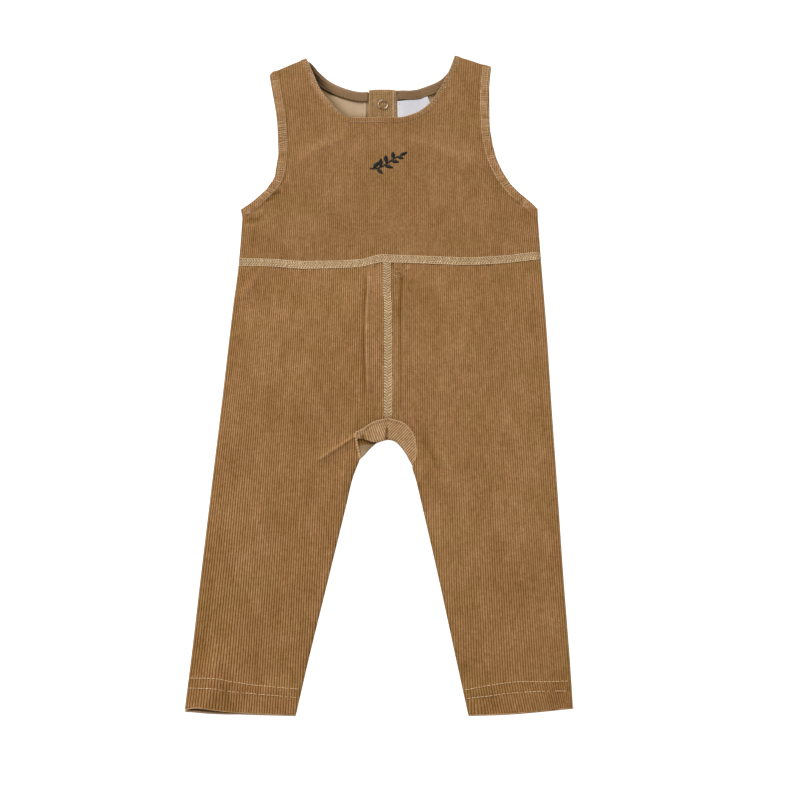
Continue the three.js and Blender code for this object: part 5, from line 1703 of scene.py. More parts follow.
def make_tape(side):
    right = side < 0
    x0 = -74.5 if right else BAND_RIGHT + 0.12
    x1 = BAND_LEFT - 0.6 if right else 58.5
    under_at = back_right_under if right else back_left_under
    xs = np.linspace(x0, x1, 110)
    slope = (neck_back(xs + 0.5) - neck_back(xs - 0.5)) / 1.0
    size = np.hypot(1, slope)
    across = np.array([TAPE_WIDTH, TAPE_WIDTH - 0.12, TAPE_WIDTH - 0.4, TAPE_WIDTH - 0.9, 9.4, 8.4, 7.2, 6, 5, 4.2, 3.4, 2.8, 2.2, 1.6, 1.1, 0.7, 0.45, 0.35])
    w = across[:, None]
    px = xs[None] + w * slope[None] / size[None]
    py = neck_back(xs)[None] - w / size[None]
    px = np.minimum(px, x1) if right else np.maximum(px, x0)
    # keep the columns apart where the limit has squeezed them
    eps = np.linspace(0, 0.02, len(xs))
    px = px + (eps[None] - 0.02 if right else eps[None])
    base = under_at(px, py) + LAYER + TAPE_STAND
    d = np.minimum(TAPE_WIDTH - w, w - 0.35) * np.ones_like(px)
    ends = np.minimum(np.arange(len(xs)), np.arange(len(xs))[::-1])[None] * 0.6
    top = base + TAPE_THICK + 0.05 * noise(xs / 6.0, w / 5.0, 500)
    top += 0.30 * ease(3.6, 2.6, w) - 0.22 * np.exp(-(((w - 3.4) / 0.45) ** 2))
    top -= 0.16 * np.exp(-(((w - 9.6) / 0.45) ** 2))
    top -= round_off(np.minimum(d, ends + 0.2), 0.6)
    under = base + 0.1 * ease(0.5, 0, d) - (TAPE_STAND - 0.03) * ease(1.3, 0.2, TAPE_WIDTH - w)
    uv = np.stack(np.broadcast_arrays(xs[None] * 1.15, w), -1)
    # the tone: a paler strip along the top, painted shade along the stitch row, darker towards the lower edge, a
    # painted shadow line along that edge that deepens where the front closes over it, and painted shade near the
    # front's neck edge and at the band end
    tone = np.zeros_like(px) + 0.34 * ease(3.9, 2.8, w) - 0.20 * np.exp(-(((w - 3.6) / 0.6) ** 2)) - 0.12 * ease(6.5, 9.4, w)
    shut = ease(-50, -58, px) if right else ease(34, 18, px)
    tone = tone - (0.05 + 0.45 * shut) * ease(9.2, 10.6, w) + 0.06 * noise(px / 7, w / 5, 520)
    d_front, _ = curve_distance(CURVE_NECK_FRONT, px.ravel(), py.ravel(), 24)
    d_front = d_front.reshape(px.shape)
    if right:
        tone = tone - 0.95 * np.exp(-((d_front / 8.0) ** 2)) - 0.05 * ease(-40, -66, px) + 0.08 * ease(-45, -22, px)
        tone = tone + 0.16 * np.exp(-(((w - 8.3) / 0.6) ** 2)) * ease(-48, -34, px) * (0.6 + 0.6 * noise(px / 1.4, w, 521))
    else:
        tone = tone - 0.45 * ease(x0 + 1.3, x0 + 0.3, px) - 0.2 * np.exp(-((d_front / 4.0) ** 2))
    tone = np.maximum(tone, -0.92)
    parts, mats, name = plain_panel(px, py, top, under, f"neck_tape_{'right' if right else 'left'}_cloth", [TAPE, TAPE], uv, tone)
    return parts.build(name, mats)


def make_label():
    rows, cols = 46, 60
    v = np.linspace(0, 1, rows)[:, None]
    u = np.linspace(0, 1, cols)[None]
    # gather rows and columns at the rim so that it is round
    v = np.clip(v + 0.0, 0, 1) ** 1.0
    v = 0.5 - 0.5 * np.cos(math.pi * v) * (0.5 + 0.5) if False else v
    left = lerp(10.6, 10.4, v)
    right = lerp(37.0, 41.2, v)
    ue = 0.5 - 0.5 * np.cos(math.pi * u)
    ve = 0.5 - 0.5 * np.cos(math.pi * v)
    u_ = lerp(u, ue, 0.55)
    v_ = lerp(v, ve, 0.55)
    x = lerp(lerp(9.6, 9.0, v_), lerp(39.6, 40.9, v_) - 2.7 * ease(0.74, 1.0, v_), u_)
    y = lerp(212 + 1.5 * u_, 239.2 + 0.4 * u_ + 7.6 * u_**1.5, v_)
    base = back_left_under(x, y) + LAYER + TAPE_STAND
    d = np.minimum(np.minimum(u_, 1 - u_) * 28, np.minimum(v_, 1 - v_) * 30)
    wave = 0.45 * np.sin(math.pi * u_) * ease(0.0, 0.8, 1 - v_) + 0.12 * np.sin(u_ * 9 + v_ * 4)
    wave = wave + 0.5 * ease(0.75, 1.0, u_) * v_
    top = base + LABEL_THICK + wave - round_off(d, 0.28)
    under = base + wave + 0.08 * ease(0.3, 0, d)
    uv = np.stack(np.broadcast_arrays(x, y), -1)
    tone = np.zeros_like(x) - 0.05 * np.exp(-(((d - 1.6) / 0.3) ** 2))
    parts, mats, name = plain_panel(x, y, top, under, "blank_label_cloth", [LABEL_MAT, LABEL_MAT], uv, tone)
    return parts.build(name, mats)


# ---------------------------------------------------------------- snap rings


def make_ring(i, inner_side):
    y = SNAP_TOP_Y - i * SNAP_PITCH
    slope = float((neck_lift(SNAP_X, y + 2) - neck_lift(SNAP_X, y - 2)) / 4)
    tilt = math.atan(slope)
    z = float(inner_band_under(SNAP_X, y) + LAYER) if inner_side else float(outer_band_under(SNAP_X, y) - SNAP_HEIGHT - 0.3)
    n, m = 96, 14
    a = 2 * math.pi * np.arange(n) / n
    b = 2 * math.pi * np.arange(m) / m
    mid, half = 0.5 * (SNAP_OUTER - 0.02 + 4.12), 0.5 * (SNAP_OUTER - 0.02 - 4.12)
    # five teeth are clenched through the ring: it is a little lower and wider where each one is
    teeth = np.cos(5 * a[:, None] + 0.4)
    dent = ease(0.55, 0.98, teeth)
    r = mid + half * 1.0 * np.sign(np.cos(b))[None] * np.abs(np.cos(b))[None] ** 0.8 * (1 - 0.06 * dent)
    h = SNAP_HEIGHT * (0.5 + 0.56 * np.sin(b)[None] * (1 - 0.45 * dent * (np.sin(b)[None] > 0)))
    h = h * (1 if inner_side else 1)
    ring = np.stack([r * np.cos(a)[:, None], r * np.sin(a)[:, None], np.broadcast_to(h, r.shape)], -1)
    if not inner_side:
        ring[..., 2] = SNAP_HEIGHT - ring[..., 2]
    c, s_ = math.cos(tilt), math.sin(tilt)
    yy, zz = ring[..., 1] * c - ring[..., 2] * s_, ring[..., 1] * s_ + ring[..., 2] * c
    ring = np.stack([ring[..., 0] + SNAP_X, yy + y, zz + z], -1)
    parts = Parts()
    uv = np.stack(np.broadcast_arrays(a[:, None], b[None]), -1)
    # dark brown between three bright stretches: painted highlights where the ring catches the light, painted shade
    # between them
    bright = sum(np.exp(-((((a - at + math.pi) % (2 * math.pi) - math.pi) / wide) ** 2)) for at, wide in ((1.75, 0.55), (3.5, 0.5), (5.6, 0.55)))
    dull = np.stack(np.broadcast_arrays((-0.85 + 0.85 * np.clip(bright, 0, 1))[:, None] + 0 * b[None]), -1)
    parts.points(ring, uv, tone=dull.reshape(-1))
    ids = np.arange(n * m).reshape(n, m)
    nx, nb = np.roll(ids, -1, 0), np.roll(ids, -1, 1)
    nxb = np.roll(nx, -1, 1)
    quads = np.stack([ids, nx, nxb, nb], -1).reshape(-1, 4)
    parts.faces(quads if inner_side else quads[:, ::-1])
    return parts.build(f"snap_ring_{'inner' if inner_side else 'outer'}_{i + 1}_metal", [METAL])


# ---------------------------------------------------------------- seams in thread


def flatlock(name, curve, height, side=1, width=6.4, pitch=2.45, seed=0, bed=True):
    """A flat cover seam: a bed of looped thread, crossing diagonals over it, and a firm line along each edge.
    height gives the cloth's face at a point; side is 1 on the upper face and -1 on the underside."""
    parts = Parts()
    half = width / 2
    c = resample(curve, 0.6)
    t = np.gradient(c, axis=0)
    t /= np.hypot(*t.T)[:, None]
    nrm = np.stack([-t[:, 1], t[:, 0]], 1)
    run = np.concatenate([[0], np.cumsum(np.hypot(*(c[1:] - c[:-1]).T))])

    def at(s, across):
        x = np.interp(s, run, c[:, 0]) + np.interp(s, run, nrm[:, 0]) * across
        y = np.interp(s, run, c[:, 1]) + np.interp(s, run, nrm[:, 1]) * across
        return x, y

    def lie(x, y, up):
        return height(x, y) + side * up

    if bed:
        s = resample(np.stack([run, run * 0], 1), 0.8)[:, 0]
        w = np.array([-1.0, -0.97, -0.9, -0.72, -0.36, 0.0, 0.36, 0.72, 0.9, 0.97, 1.0]) * (half - 0.25)
        S, W = np.meshgrid(s, w, indexing="ij")
        x, y = at(S, W)
        crown = np.interp(np.abs(W) / (half - 0.25), [0, 0.72, 0.9, 0.97, 1.0], [0.20, 0.18, 0.10, 0.0, -0.22])
        ripple = 0.07 * noise(S / 1.1, W / 1.1, seed + 1)
        face = np.stack([x, y, lie(x, y, crown + ripple)], -1)
        back = np.stack([x, y, lie(x, y, np.minimum(crown - 0.25, -0.42))], -1)
        k, m = S.shape
        ids = np.arange(k * m).reshape(k, m)
        uv = np.stack([S * 0.7, W], -1)
        first = parts.points(face, uv)
        second = parts.points(back, uv)
        q = np.stack([ids[:-1, :-1], ids[1:, :-1], ids[1:, 1:], ids[:-1, 1:]], -1).reshape(-1, 4)
        if side < 0:
            q = q[:, ::-1]
        parts.faces(q + first, 1)
        parts.faces(q[:, ::-1] + second, 1)
        rim = []
        for chain in boundary_loops(q):
            for a_, b_ in zip(chain, chain[1:] + chain[:1]):
                rim.append((b_ + first, a_ + first, a_ + second, b_ + second))
        parts.faces(np.array(rim), 1)
    # looped strands in two slanting ranks that meet at the middle
    count = int((run[-1] - 3.0) / pitch)
    i = np.arange(count)
    k = np.linspace(0, 1, 7)
    for rank in (-1, 1):
        s0 = 0.6 + i * pitch + (0.0 if rank < 0 else 0.5 * pitch) + 0.42 * noise(i * 0.9, rank + seed, seed + 3)
        slant = pitch * 0.95
        s_ = s0[:, None] + slant * k[None] + 0.15 * noise(i[:, None] * 1.3 + k[None], seed + 7, 4)
        out = (half - 0.25) * (1 + 0.09 * noise(i * 0.8, rank * 3.0, seed + 6))[:, None]
        w = rank * (out * (1 - k[None]) + 0.12)
        x, y = at(s_, w)
        up = 0.14 + 0.26 * np.sin(math.pi * (0.08 + 0.86 * k))[None] ** 0.6 + 0.07 * noise(i * 1.7, rank, seed + 8)[:, None]
        r = 0.48 * (0.75 + 0.25 * np.sin(math.pi * k)[None]) * (1 + 0.2 * noise(i * 1.1, 2.0 + rank, seed + 9))[:, None]
        for m in range(3):
            part = i % 3 == m
            tubes(parts, np.stack([x, y, lie(x, y, up)], -1)[part], r[part], sides=5, flat=0.7, tone=(m - 1) * 0.09 - (0.06 if half > 3.6 else 0.0))
    # needle lines: short bars that hold the loops down, firm along both edges and fine along the middle
    rows = ((-half + 0.30, 0.30, 1.75), (0.0, 0.24, 1.3), (half - 0.30, 0.33, 1.85))
    if half > 3.6:
        rows = ((-half + 0.42, 0.44, 2.05), (-half * 0.48, 0.26, 1.2), (0.15, 0.30, 1.5), (half * 0.50, 0.24, 1.2), (half - 0.40, 0.42, 2.0))
    for across, r, bar in rows:
        starts = np.arange(0.3, run[-1] - bar, pitch)
        tt = np.linspace(0, 1, 5)
        s = starts[:, None] + tt[None] * bar
        wob = 0.22 * noise(s / 2.6, across, seed + 13)
        x, y = at(s, across + wob)
        up = 0.34 * np.sin(math.pi * tt)[None] ** 0.5 + (0.10 if half > 3.6 else 0.08) + 0.05 * noise(np.arange(len(s)) * 0.9, 3.3, seed + 14)[:, None]
        tubes(parts, np.stack([x, y, lie(x, y, up)], -1), r, sides=5, flat=0.85, tone=0.06)
    return parts.build(name, [SEAM_THREAD, SEAM_BED])


def under_face(x, y):
    return np.full(np.shape(x), 1.0)


def front_face(x, y):
    return front_top(x, y)


def make_hem_threads(right):
    """Two rows of pale stitches round a leg's hem, on the front."""
    parts = Parts()
    x0, x1 = (-134.2, -54.0) if right else (52.5, 130.2)
    for i in (0, 1):
        xs = np.linspace(x0, x1, 140)
        ys = reader(HEM_LINES[right][i])(xs) + 0.15 * noise(xs / 9, i + 3.0, 600 + i)
        low = (side_left if right else side_right)(ys)
        inn = (inner_right if right else inner_left)(ys)
        keep = (xs > np.minimum(low, inn) + 0.9) & (xs < np.maximum(low, inn) - 0.9)
        c = np.stack([xs[keep], ys[keep]], 1)
        p = stitches(c, 3.0, 2.5, lambda x, y: front_top(x, y) + 0.16, 0.22, sunk=0.12, jitter=0.3, seed=610 + i * 7 + (0 if right else 31), skip=0.03)
        bury = 0.17 * noise(np.arange(len(p)) * 0.53, 2.2, 640 + i) + (0.05 if i == 0 else 0.0)
        p[..., 2] += bury[:, None]
        tubes(parts, p, 0.23, sides=6)
    # the fold's lower edge is a pale rolled line
    xs = np.linspace(-134.2, -59.8, 110) if right else np.linspace(58.4, 129.8, 105)
    ys = (hem_front_right if right else hem_front_left)(xs) + 0.34
    r = 0.36 * (1 + 0.2 * noise(xs / 2.2, 4.0, 655)) * (0.62 + 0.38 * ease(-112, -128, xs) if right else 0.7)
    tubes(parts, np.stack([xs, ys, front_top(xs, ys) + 0.10], 1), r, sides=5, mat=1, tone=0.42)
    return parts.build(f"leg_{'right' if right else 'left'}_hem_stitches", [HEM_THREAD, ROLL])


def make_back_hem_threads(right):
    parts = Parts()
    hem = hem_back_right if right else hem_back_left
    x0, x1 = (-134.2, -56.5) if right else (55.2, 129.2)
    for i, d in enumerate(HEM_ROWS):
        xs = np.linspace(x0, x1, 120)
        ys = hem(xs) + d
        low = (side_left if right else side_right)(ys)
        inn = (inner_right if right else inner_left)(ys)
        keep = (xs > np.minimum(low, inn) + 1.2) & (xs < np.maximum(low, inn) - 1.2)
        c = np.stack([xs[keep], ys[keep]], 1)
        p = stitches(c, 3.05, 2.35, lambda x, y: 0.30 + 0 * x, -0.29, seed=650 + i)
        p[..., 2] = np.clip(p[..., 2], 0.27, 0.55)
        tubes(parts, p, 0.24, sides=5)
    return parts.build(f"leg_{'right' if right else 'left'}_back_hem_stitches", [HEM_THREAD])


TUFTS = [  # middle, size, start in degrees, sweep in radians, tone
    (5.8, 55.0, 1.5, 20, 4.6, -0.26), (8.2, 53.6, 1.2, 200, 4.0, -0.2), (13.6, 55.4, 2.2, 90, 5.6, -0.24),
    (6.6, 49.6, 1.6, 300, 4.2, -0.22), (10.2, 47.8, 2.0, 40, 5.0, -0.2), (13.8, 46.6, 1.4, 150, 4.4, -0.24),
    (7.4, 44.6, 1.5, 250, 4.6, 0.25), (11.6, 43.2, 1.8, 10, 4.8, -0.2), (9.0, 50.6, 1.0, 120, 3.6, 0.3), (16.4, 51.0, 1.1, 60, 3.8, -0.3),
]


def make_edge_threads():
    """Cover stitching of the armholes and the neck, in thread near the cloth's colour."""
    parts = Parts()

    def add(curve, inward, pitch, length, radius, seed, lift=0.9, raise_=0.45, tone=0.0, ends=1.5):
        c = offset_curve(resample(curve, 0.8), inward)
        run = np.concatenate([[0], np.cumsum(np.hypot(*(c[1:] - c[:-1]).T))])
        keep = (run > ends) & (run < run[-1] - ends)
        keep &= (c[:, 0] > side_left(c[:, 1]) + 0.8) | (c[:, 1] > 117.5)
        keep &= (c[:, 0] < side_right(c[:, 1]) - 0.8) | (c[:, 1] > 117.5)
        keep &= c[:, 1] < shoulder(c[:, 0]) - 0.8
        p = stitches(c[keep], pitch, length, lambda x, y: front_top(x, y) + raise_, radius, sunk=0.16, jitter=0.2, seed=seed, lift=lift)
        p[..., 2] += 0.14 * noise(np.arange(len(p)) * 0.8, 1.5, seed)[:, None]
        tubes(parts, p, radius, sides=5, tone=tone)

    def rungs(curve, inward, reach, pitch, radius, seed, tone, raise_, run_from=2.0, run_to=1e9):
        """Little gathers of cloth across a hem, from its edge to its stitching."""
        c = resample(curve, 0.5)
        t = np.gradient(c, axis=0)
        t /= np.hypot(*t.T)[:, None]
        nrm = np.stack([-t[:, 1], t[:, 0]], 1) * inward
        run = np.concatenate([[0], np.cumsum(np.hypot(*(c[1:] - c[:-1]).T))])
        s = np.arange(run_from, min(run[-1] - 1.2, run_to), pitch)
        i = np.arange(len(s))
        s = s + 0.45 * noise(i * 1.1, seed, seed)
        k = np.linspace(0, 1, 9)
        far = reach * (1 + 0.08 * noise(i * 0.9, seed + 2, seed))[:, None]
        along = s[:, None] + 0.7 * noise(i[:, None] * 0.6 + k[None] * 0.8, seed + 3.0, seed)
        d = 0.15 + k[None] * far
        x = np.interp(along, run, c[:, 0]) + np.interp(along, run, nrm[:, 0]) * d
        y = np.interp(along, run, c[:, 1]) + np.interp(along, run, nrm[:, 1]) * d
        ok = (y < shoulder(x) - 0.6).all(1)
        ok &= ((x > side_left(y) + 0.5) & (x < side_right(y) - 0.5) | (y > 118)).all(1)
        x, y, d, i = x[ok], y[ok], d[ok], i[ok]
        up = raise_ - round_off(d, 0.95) + 0.16 * np.sin(math.pi * k)[None] ** 0.6 - 0.12
        up += 0.12 * noise(i[:, None] * 0.8, k[None] * 3, seed + 5)
        r = radius * (0.55 + 0.5 * np.sin(math.pi * k)[None] ** 0.5) * (1 + 0.3 * noise(i * 0.7, 9.0, seed))[:, None]
        for m in range(3):
            part = i % 3 == m
            tubes(parts, np.stack([x, y, front_top(x, y) + up], -1)[part], r[part], sides=6, flat=0.4, mat=1, tone=tone + (m - 1) * 0.12)

    rungs(CURVE_ARM_LEFT, -1, 8.0, 2.35, 0.70, 741, 0.08, 0.50)
    rungs(CURVE_ARM_RIGHT, 1, 8.0, 2.35, 0.72, 742, 0.20, 0.46)
    rungs(CURVE_NECK_FRONT, -1, 5.4, 2.1, 0.55, 743, 0.06, 0.44, run_to=80.0)
    rungs(CURVE_NECK_FRONT[::-1], 1, 5.4, 2.1, 0.55, 744, 0.0, 0.44, run_to=86.0)
    # loose pile along the steep neck edges
    for curve, inward, seed, tone, far in ((CURVE_NECK_FRONT, -1, 751, 0.34, 78.0), (CURVE_NECK_FRONT[::-1], 1, 752, 0.2, 84.0)):
        rungs(curve, inward, 1.7, 1.25, 0.42, seed, tone, 0.62, run_to=far)
    # the armhole curves run up: on the left the cloth is to their right, on the right to their left
    for inward, r, seed in ((2.8, 0.24, 700), (8.0, 0.30, 703)):
        add(CURVE_ARM_LEFT, -inward, 2.5, 2.0, r, seed, tone=0.12)
        add(CURVE_ARM_RIGHT, inward, 2.5, 2.1, r + 0.04, seed + 1, tone=0.22)
    # the neck's inner row shows pale at the front's left and sinks into the pile further right
    c = offset_curve(resample(CURVE_NECK_FRONT, 0.8), -5.8)
    for lo, hi, tone, r, up in ((-37.0, -2.0, 0.22, 0.21, 0.36), (4.0, 40.0, -0.42, 0.22, 0.20)):
        part = c[(c[:, 0] > lo) & (c[:, 0] < hi) & (c[:, 1] < 232)]
        tubes(parts, stitches(part, 2.6, 2.2, lambda x, y: front_top(x, y) + up, r, sunk=0.1, jitter=0.2, seed=706), r, sides=5, tone=tone)
    # its very edge is a thin pale line where it lies flat: a painted highlight along the edge
    c = offset_curve(resample(CURVE_NECK_FRONT, 0.8), -0.5)
    c = c[(c[:, 0] > -34) & (c[:, 0] < 44) & (c[:, 1] < 238)]
    z = front_top(c[:, 0], c[:, 1]) + 0.30
    run = np.arange(len(c)) * 0.8
    r = 0.30 * (1 + 0.22 * noise(run / 1.6, 0.7, 755)) * ease(0, 3, run) * ease(run[-1], run[-1] - 6, run) + 0.02
    tubes(parts, np.stack([c[:, 0], c[:, 1], z], -1), r, sides=6, mat=1, tone=0.42)
    # pulled loops of pile beside the top of the centre seam
    for n_, (cx, cy, size, turn, sweep, tone) in enumerate(TUFTS):
        a = math.radians(turn) + np.linspace(0, sweep, 12)
        grow = np.linspace(1.0, 0.72, 12)
        x, y = cx + size * grow * np.cos(a), cy + 0.8 * size * grow * np.sin(a)
        r = 0.42 * np.sin(math.pi * np.linspace(0.06, 0.94, 12)) ** 0.5
        tubes(parts, np.stack([x, y, front_top(x, y) + 0.14], 1), r, sides=6, flat=0.55, mat=1, tone=tone + 0.12)
    return parts.build("armhole_and_neck_stitches", [EDGE_THREAD, ROLL])


def make_band_threads():
    """Zigzag over the sewn edge of the inner band, and straight rows beside its turned edges."""
    parts = Parts()
    x0, x1 = BAND_LEFT, BAND_RIGHT

    def height(x, y):
        return inner_band_under(x, y) + CLOTH + 0.02

    # zigzag
    k = np.arange(0, 60)
    y = BAND_TOP - 2.2 - k * 0.62
    x = x1 - 3.4 + 1.35 * np.where(k % 2, 1, -1) + 0.25 * noise(k * 0.7, 3.3, 800)
    fine = np.linspace(0, len(k) - 1, (len(k) - 1) * 4 + 1)
    xf, yf = np.interp(fine, k, x), np.interp(fine, k, y)
    up = 0.22 + 0.14 * np.abs(np.sin(fine * math.pi))
    tubes(parts, np.stack([xf, yf, height(xf, yf) + up], -1), 0.24, sides=5, tone=0.25)
    col = np.array([[x1 - 1.4, BAND_TOP - 1.8], [x1 - 1.4, 214.0]])
    tubes(parts, stitches(col, 2.0, 1.5, lambda a, b: height(a, b), 0.24, seed=803), 0.22, sides=5, tone=0.2)
    # straight rows
    for c, tone in (
        (np.array([[x0 + 3.2, 214.0], [x0 + 3.2, BAND_TOP - 2.0]]), 0.0),
        (np.array([[x0 + 1.5, BAND_TOP - 5.2], [x1 - 5.5, BAND_TOP - 5.2]]), 0.0),
    ):
        tubes(parts, stitches(c, 2.3, 1.7, lambda a, b: height(a, b) - 0.05, 0.2, seed=805), 0.19, sides=5, tone=tone)
    # the band's edge is in shade beside the label
    edge = np.linspace(222.3, 235.9, 14)
    tubes(parts, np.stack([x1 - 0.12 + 0 * edge, edge, height(x1 - 0.8 + 0 * edge, edge) - 0.28], -1), 0.30, sides=5, tone=-0.72)
    return parts.build("button_band_stitches", [EDGE_THREAD])


def make_tape_threads(right):
    """One row of small stitches near the tape's lower edge, and one near the neck edge."""
    parts = Parts()
    x0 = -71.0 if right else BAND_RIGHT + 2.0
    x1 = BAND_LEFT - 2.0 if right else 55.5
    under_at = back_right_under if right else back_left_under
    xs = np.linspace(x0, x1, 120)
    slope = (neck_back(xs + 0.5) - neck_back(xs - 0.5)) / 1.0
    size = np.hypot(1, slope)
    for w, seed in ((3.4, 820), (9.6, 823)):
        c = np.stack([xs + w * slope / size, neck_back(xs) - w / size], 1)
        lim = (c[:, 0] < BAND_LEFT - 1.4) if right else (c[:, 0] > BAND_RIGHT + 1.6)
        p = stitches(c[lim], 2.2, 1.6, lambda x, y: under_at(x, y) + LAYER + TAPE_STAND + TAPE_THICK - 0.16, 0.17, sunk=0.06, seed=seed)
        tubes(parts, p, 0.16, sides=5)
    return parts.build(f"neck_tape_{'right' if right else 'left'}_stitches", [EDGE_THREAD])


def make_label_threads():
    parts = Parts()

    def height(x, y):
        return back_left_under(x, y) + LAYER + TAPE_STAND + LABEL_THICK

    for x in (10.8, 36.6):
        top_y = 238.2 if x < 20 else 244.4
        col = np.array([[x, top_y], [x, top_y - 3.0]])
        tubes(parts, stitches(col, 0.9, 0.75, lambda a, b: height(a, b) + 0.06, 0.13, seed=840), 0.12, sides=5)
    return parts.build("blank_label_stitches", [LABEL_THREAD])


# ---------------------------------------------------------------- embroidered sprig: a generic leafy twig


def make_sprig():
    parts = Parts()
    cx, cy = -2.8, 168.0
    turn = math.radians(6.0)

    def place(p):
        p = np.asarray(p, float)
        x = cx + p[..., 0] * math.cos(turn) - p[..., 1] * math.sin(turn)
        y = cy + p[..., 0] * math.sin(turn) + p[..., 1] * math.cos(turn)
        return x, y

    def lay(points, up, radius, sides=5, flat=0.85):
        x, y = place(points)
        tubes(parts, np.stack([x, y, front_top(x, y) + up], -1), radius, sides=sides, flat=flat)

    # stem, three close rows of back stitch along a low arch
    t = np.linspace(0, 1, 60)
    sx = lerp(-14.2, 14.4, t)
    sy = -6.2 + 11.5 * t - 6.0 * np.sin(math.pi * t) * (0.6 - t) * 1.2 - 2.5 * np.sin(math.pi * t)
    stem = np.stack([sx, sy], 1)
    for off in (-0.42, 0.0, 0.42):
        c = offset_curve(stem, off)
        run = np.concatenate([[0], np.cumsum(np.hypot(*(c[1:] - c[:-1]).T))])
        starts = np.arange(abs(off), run[-1] - 2.0, 2.1)
        tt = np.linspace(0, 1, 6)
        s = starts[:, None] + tt[None] * 2.3
        pts = np.stack([np.interp(s, run, c[:, 0]), np.interp(s, run, c[:, 1])], -1)
        lay(pts, 0.14 + 0.24 * np.sin(math.pi * tt)[None], 0.27)
    # leaves in satin stitch: place along the stem, side, length, width, lean
    leaves = [
        (0.10, 1, 6.6, 3.3, 62), (0.22, -1, 5.8, 3.0, -58), (0.33, 1, 7.6, 3.6, 60), (0.46, -1, 6.4, 3.2, -54),
        (0.56, 1, 7.2, 3.4, 56), (0.69, -1, 5.8, 3.0, -50), (0.78, 1, 6.2, 3.0, 52), (0.90, -1, 4.8, 2.5, -46),
        (0.985, 1, 6.4, 3.0, 4),
    ]
    for at, side, length, width, lean in leaves:
        length, width = length * 1.22, width * 1.12
        i = at * (len(t) - 1)
        px, py = np.interp(i, np.arange(len(t)), sx), np.interp(i, np.arange(len(t)), sy)
        j = min(max(int(i), 1), len(t) - 2)
        base = math.atan2(sy[j + 1] - sy[j - 1], sx[j + 1] - sx[j - 1])
        a = base + math.radians(lean)
        d = np.array([math.cos(a), math.sin(a)])
        q = np.array([-d[1], d[0]])
        n = int(length / 0.42)
        k = (np.arange(n) + 0.5) / n
        w = width / 2 * np.sin(math.pi * k**0.85) ** 0.8
        tt = np.linspace(-1, 1, 7)
        centre = np.array([px, py]) + d[None] * (k[:, None] * length + 0.5)
        slant = 0.9 * (1 - np.abs(tt))[None] * 0.0 + 0.55 * np.abs(tt)[None]
        pts = centre[:, None] + q[None, None] * (tt[None] * w[:, None])[..., None] + d[None, None] * slant[..., None]
        lay(pts, 0.16 + 0.42 * np.sqrt(np.clip(1 - tt**2, 0, 1))[None], 0.26)
    return parts.build("sprig_embroidery", [BLACK])


# ---------------------------------------------------------------- build all
made = {}


def add(obj, *, nodes=(), slot="corduroy"):
    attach(obj, "root")
    if nodes:
        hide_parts(*nodes)
    made[obj.name] = obj
    return obj


bodice = add(make_front_bodice(), nodes=["front_bodice"])
leg_fr = add(make_leg(-1, "front"), nodes=["front_leg_right"])
leg_fl = add(make_leg(1, "front"), nodes=["front_leg_left"])
leg_br = add(make_leg(-1, "back"), nodes=["back_leg_right"])
leg_bl = add(make_leg(1, "back"), nodes=["back_leg_left"])
back_r = add(make_back_bodice(-1), nodes=["back_bodice_right"])
back_l = add(make_back_bodice(1), nodes=["back_bodice_left"])
band_i = add(make_band(True), nodes=["button_band_inner"])
band_o = add(make_band(False), nodes=["button_band_outer"])
gusset = add(make_gusset(), nodes=["crotch_gusset"])
tape_r = add(make_tape(-1), nodes=["neck_tape_right"], slot="neck_tape")
tape_l = add(make_tape(1), nodes=["neck_tape_left"], slot="neck_tape")
label = add(make_label(), nodes=["blank_label"], slot="label")
rings = []
for i in range(SNAP_COUNT):
    rings.append(add(make_ring(i, True), nodes=[f"snap_ring_inner_{i + 1}"], slot="snap_metal"))
    rings.append(add(make_ring(i, False), nodes=[f"snap_ring_outer_{i + 1}"], slot="snap_metal"))

# seams
xs = np.linspace(float(side_left(61.5)) + 0.5, float(side_right(68)) - 0.5, 240)
waist_seam = add(flatlock("waist_seam_front", np.stack([xs, waist(xs)], 1), front_face, width=7.7, pitch=2.25, seed=900), slot="seam_thread")
ys = np.linspace(61.8, -83.6, 160)
centre_seam = add(
    flatlock("centre_seam_front", np.stack([inner_right(ys), ys], 1), front_face, width=6.6, seed=920), slot="seam_thread"
)
xs = np.linspace(float(side_left(61.5)) + 0.6, float(side_right(68)) - 0.6, 240)
waist_seam_back = add(flatlock("waist_seam_back", np.stack([xs, back_waist(xs)], 1), under_face, side=-1, pitch=3.6, seed=940), slot="seam_thread")
ys = np.linspace(61.0, -83.0, 160)
centre_seam_back = add(flatlock("centre_seam_back", np.stack([inner_right(ys), ys], 1), under_face, side=-1, pitch=3.4, seed=950), slot="seam_thread")
gusset_roll = add(make_gusset_roll(), slot="corduroy")
hem_r = add(make_hem_threads(True), slot="seam_thread")
hem_l = add(make_hem_threads(False), slot="seam_thread")
hem_rb = add(make_back_hem_threads(True), slot="seam_thread")
hem_lb = add(make_back_hem_threads(False), slot="seam_thread")
edges = add(make_edge_threads(), slot="seam_thread")
band_threads = add(make_band_threads(), slot="seam_thread")
tape_threads_r = add(make_tape_threads(True), slot="seam_thread")
tape_threads_l = add(make_tape_threads(False), slot="seam_thread")
label_threads = add(make_label_threads(), slot="label")
sprig = add(make_sprig(), slot="motif_thread")

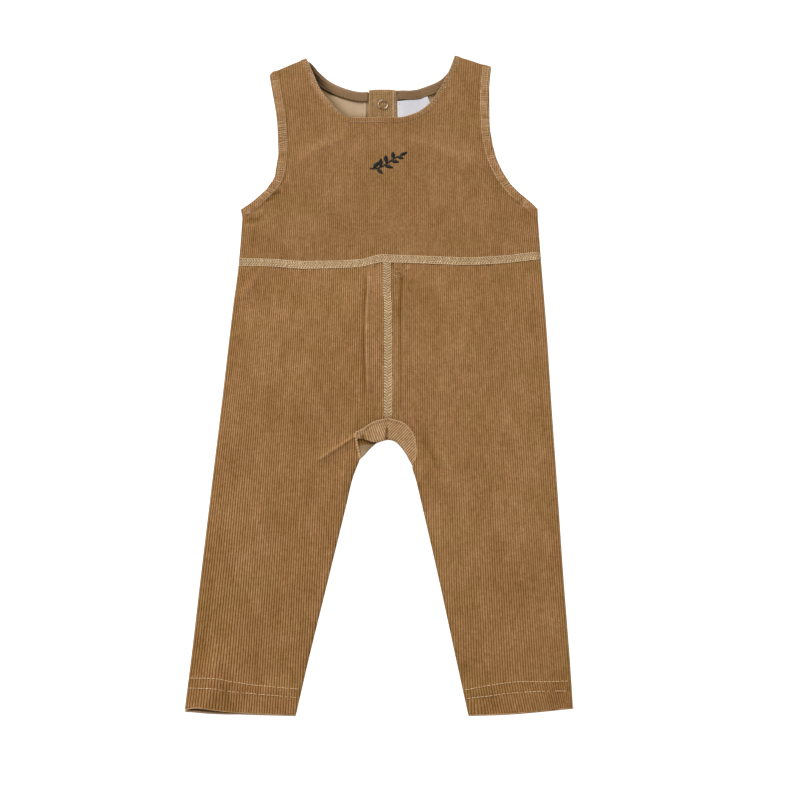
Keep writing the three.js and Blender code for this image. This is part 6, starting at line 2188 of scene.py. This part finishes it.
# ---------------------------------------------------------------- floor and light
floor_mat, nt, bsdf = new_material("floor_white")
n = Net(nt)
fine = n.span(n.noise(n.place(), 40.0, 2.0, 0.5), 0.3, 0.7, 0.44, 0.46, smooth=False)
nt.links.new(n.grey(fine), bsdf.inputs["Base Color"])
bsdf.inputs["Roughness"].default_value = 0.9
bsdf.inputs["Specular IOR Level"].default_value = 0.1
bsdf.inputs["Emission Color"].default_value = rgba(1, 1, 1)
bsdf.inputs["Emission Strength"].default_value = 0.95
floor_mesh = bpy.data.meshes.new("floor")
floor_mesh.from_pydata([(-4, -4, -0.0004), (4, -4, -0.0004), (4, 4, -0.0004), (-4, 4, -0.0004)], [], [(0, 1, 2, 3)])
floor_mesh.materials.append(floor_mat)
floor = bpy.data.objects.new("floor", floor_mesh)
bpy.context.scene.collection.objects.link(floor)

world = bpy.data.worlds.new("soft_white")
bpy.context.scene.world = world
world.use_nodes = True
wnt = world.node_tree
wnt.nodes.clear()
wout = wnt.nodes.new("ShaderNodeOutputWorld")
wbg = wnt.nodes.new("ShaderNodeBackground")
wbg.inputs[0].default_value = (1.0, 1.0, 1.0, 1.0)
wbg.inputs[1].default_value = 0.34
wnt.links.new(wbg.outputs[0], wout.inputs[0])


def area_light(name, location, target, size, power, colour=(1, 1, 1)):
    data = bpy.data.lights.new(name, "AREA")
    data.shape = "RECTANGLE"
    data.size, data.size_y = size
    data.energy = power
    data.color = colour
    obj = bpy.data.objects.new(name, data)
    from mathutils import Vector

    obj.location = location
    obj.rotation_euler = (Vector(target) - Vector(location)).to_track_quat("-Z", "Y").to_euler()
    bpy.context.scene.collection.objects.link(obj)
    return obj


area_light("key", (-1.9, 2.8, 2.1), (0.0, 0.0, 0.0), (1.5, 1.5), 134.0)
area_light("fill", (1.1, -0.3, 1.7), (0.0, 0.0, 0.0), (1.4, 1.4), 11.0)

bpy.context.scene.view_settings.view_transform = "Standard"
bpy.context.scene.view_settings.look = "None"

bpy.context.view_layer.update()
for o in made.values():
    if o.type == "MESH":
        o.data.calc_loop_triangles()
print("scene triangles", sum(len(o.data.loop_triangles) for o in made.values()), {k: len(o.data.loop_triangles) for k, o in made.items() if len(o.data.loop_triangles) > 20000})
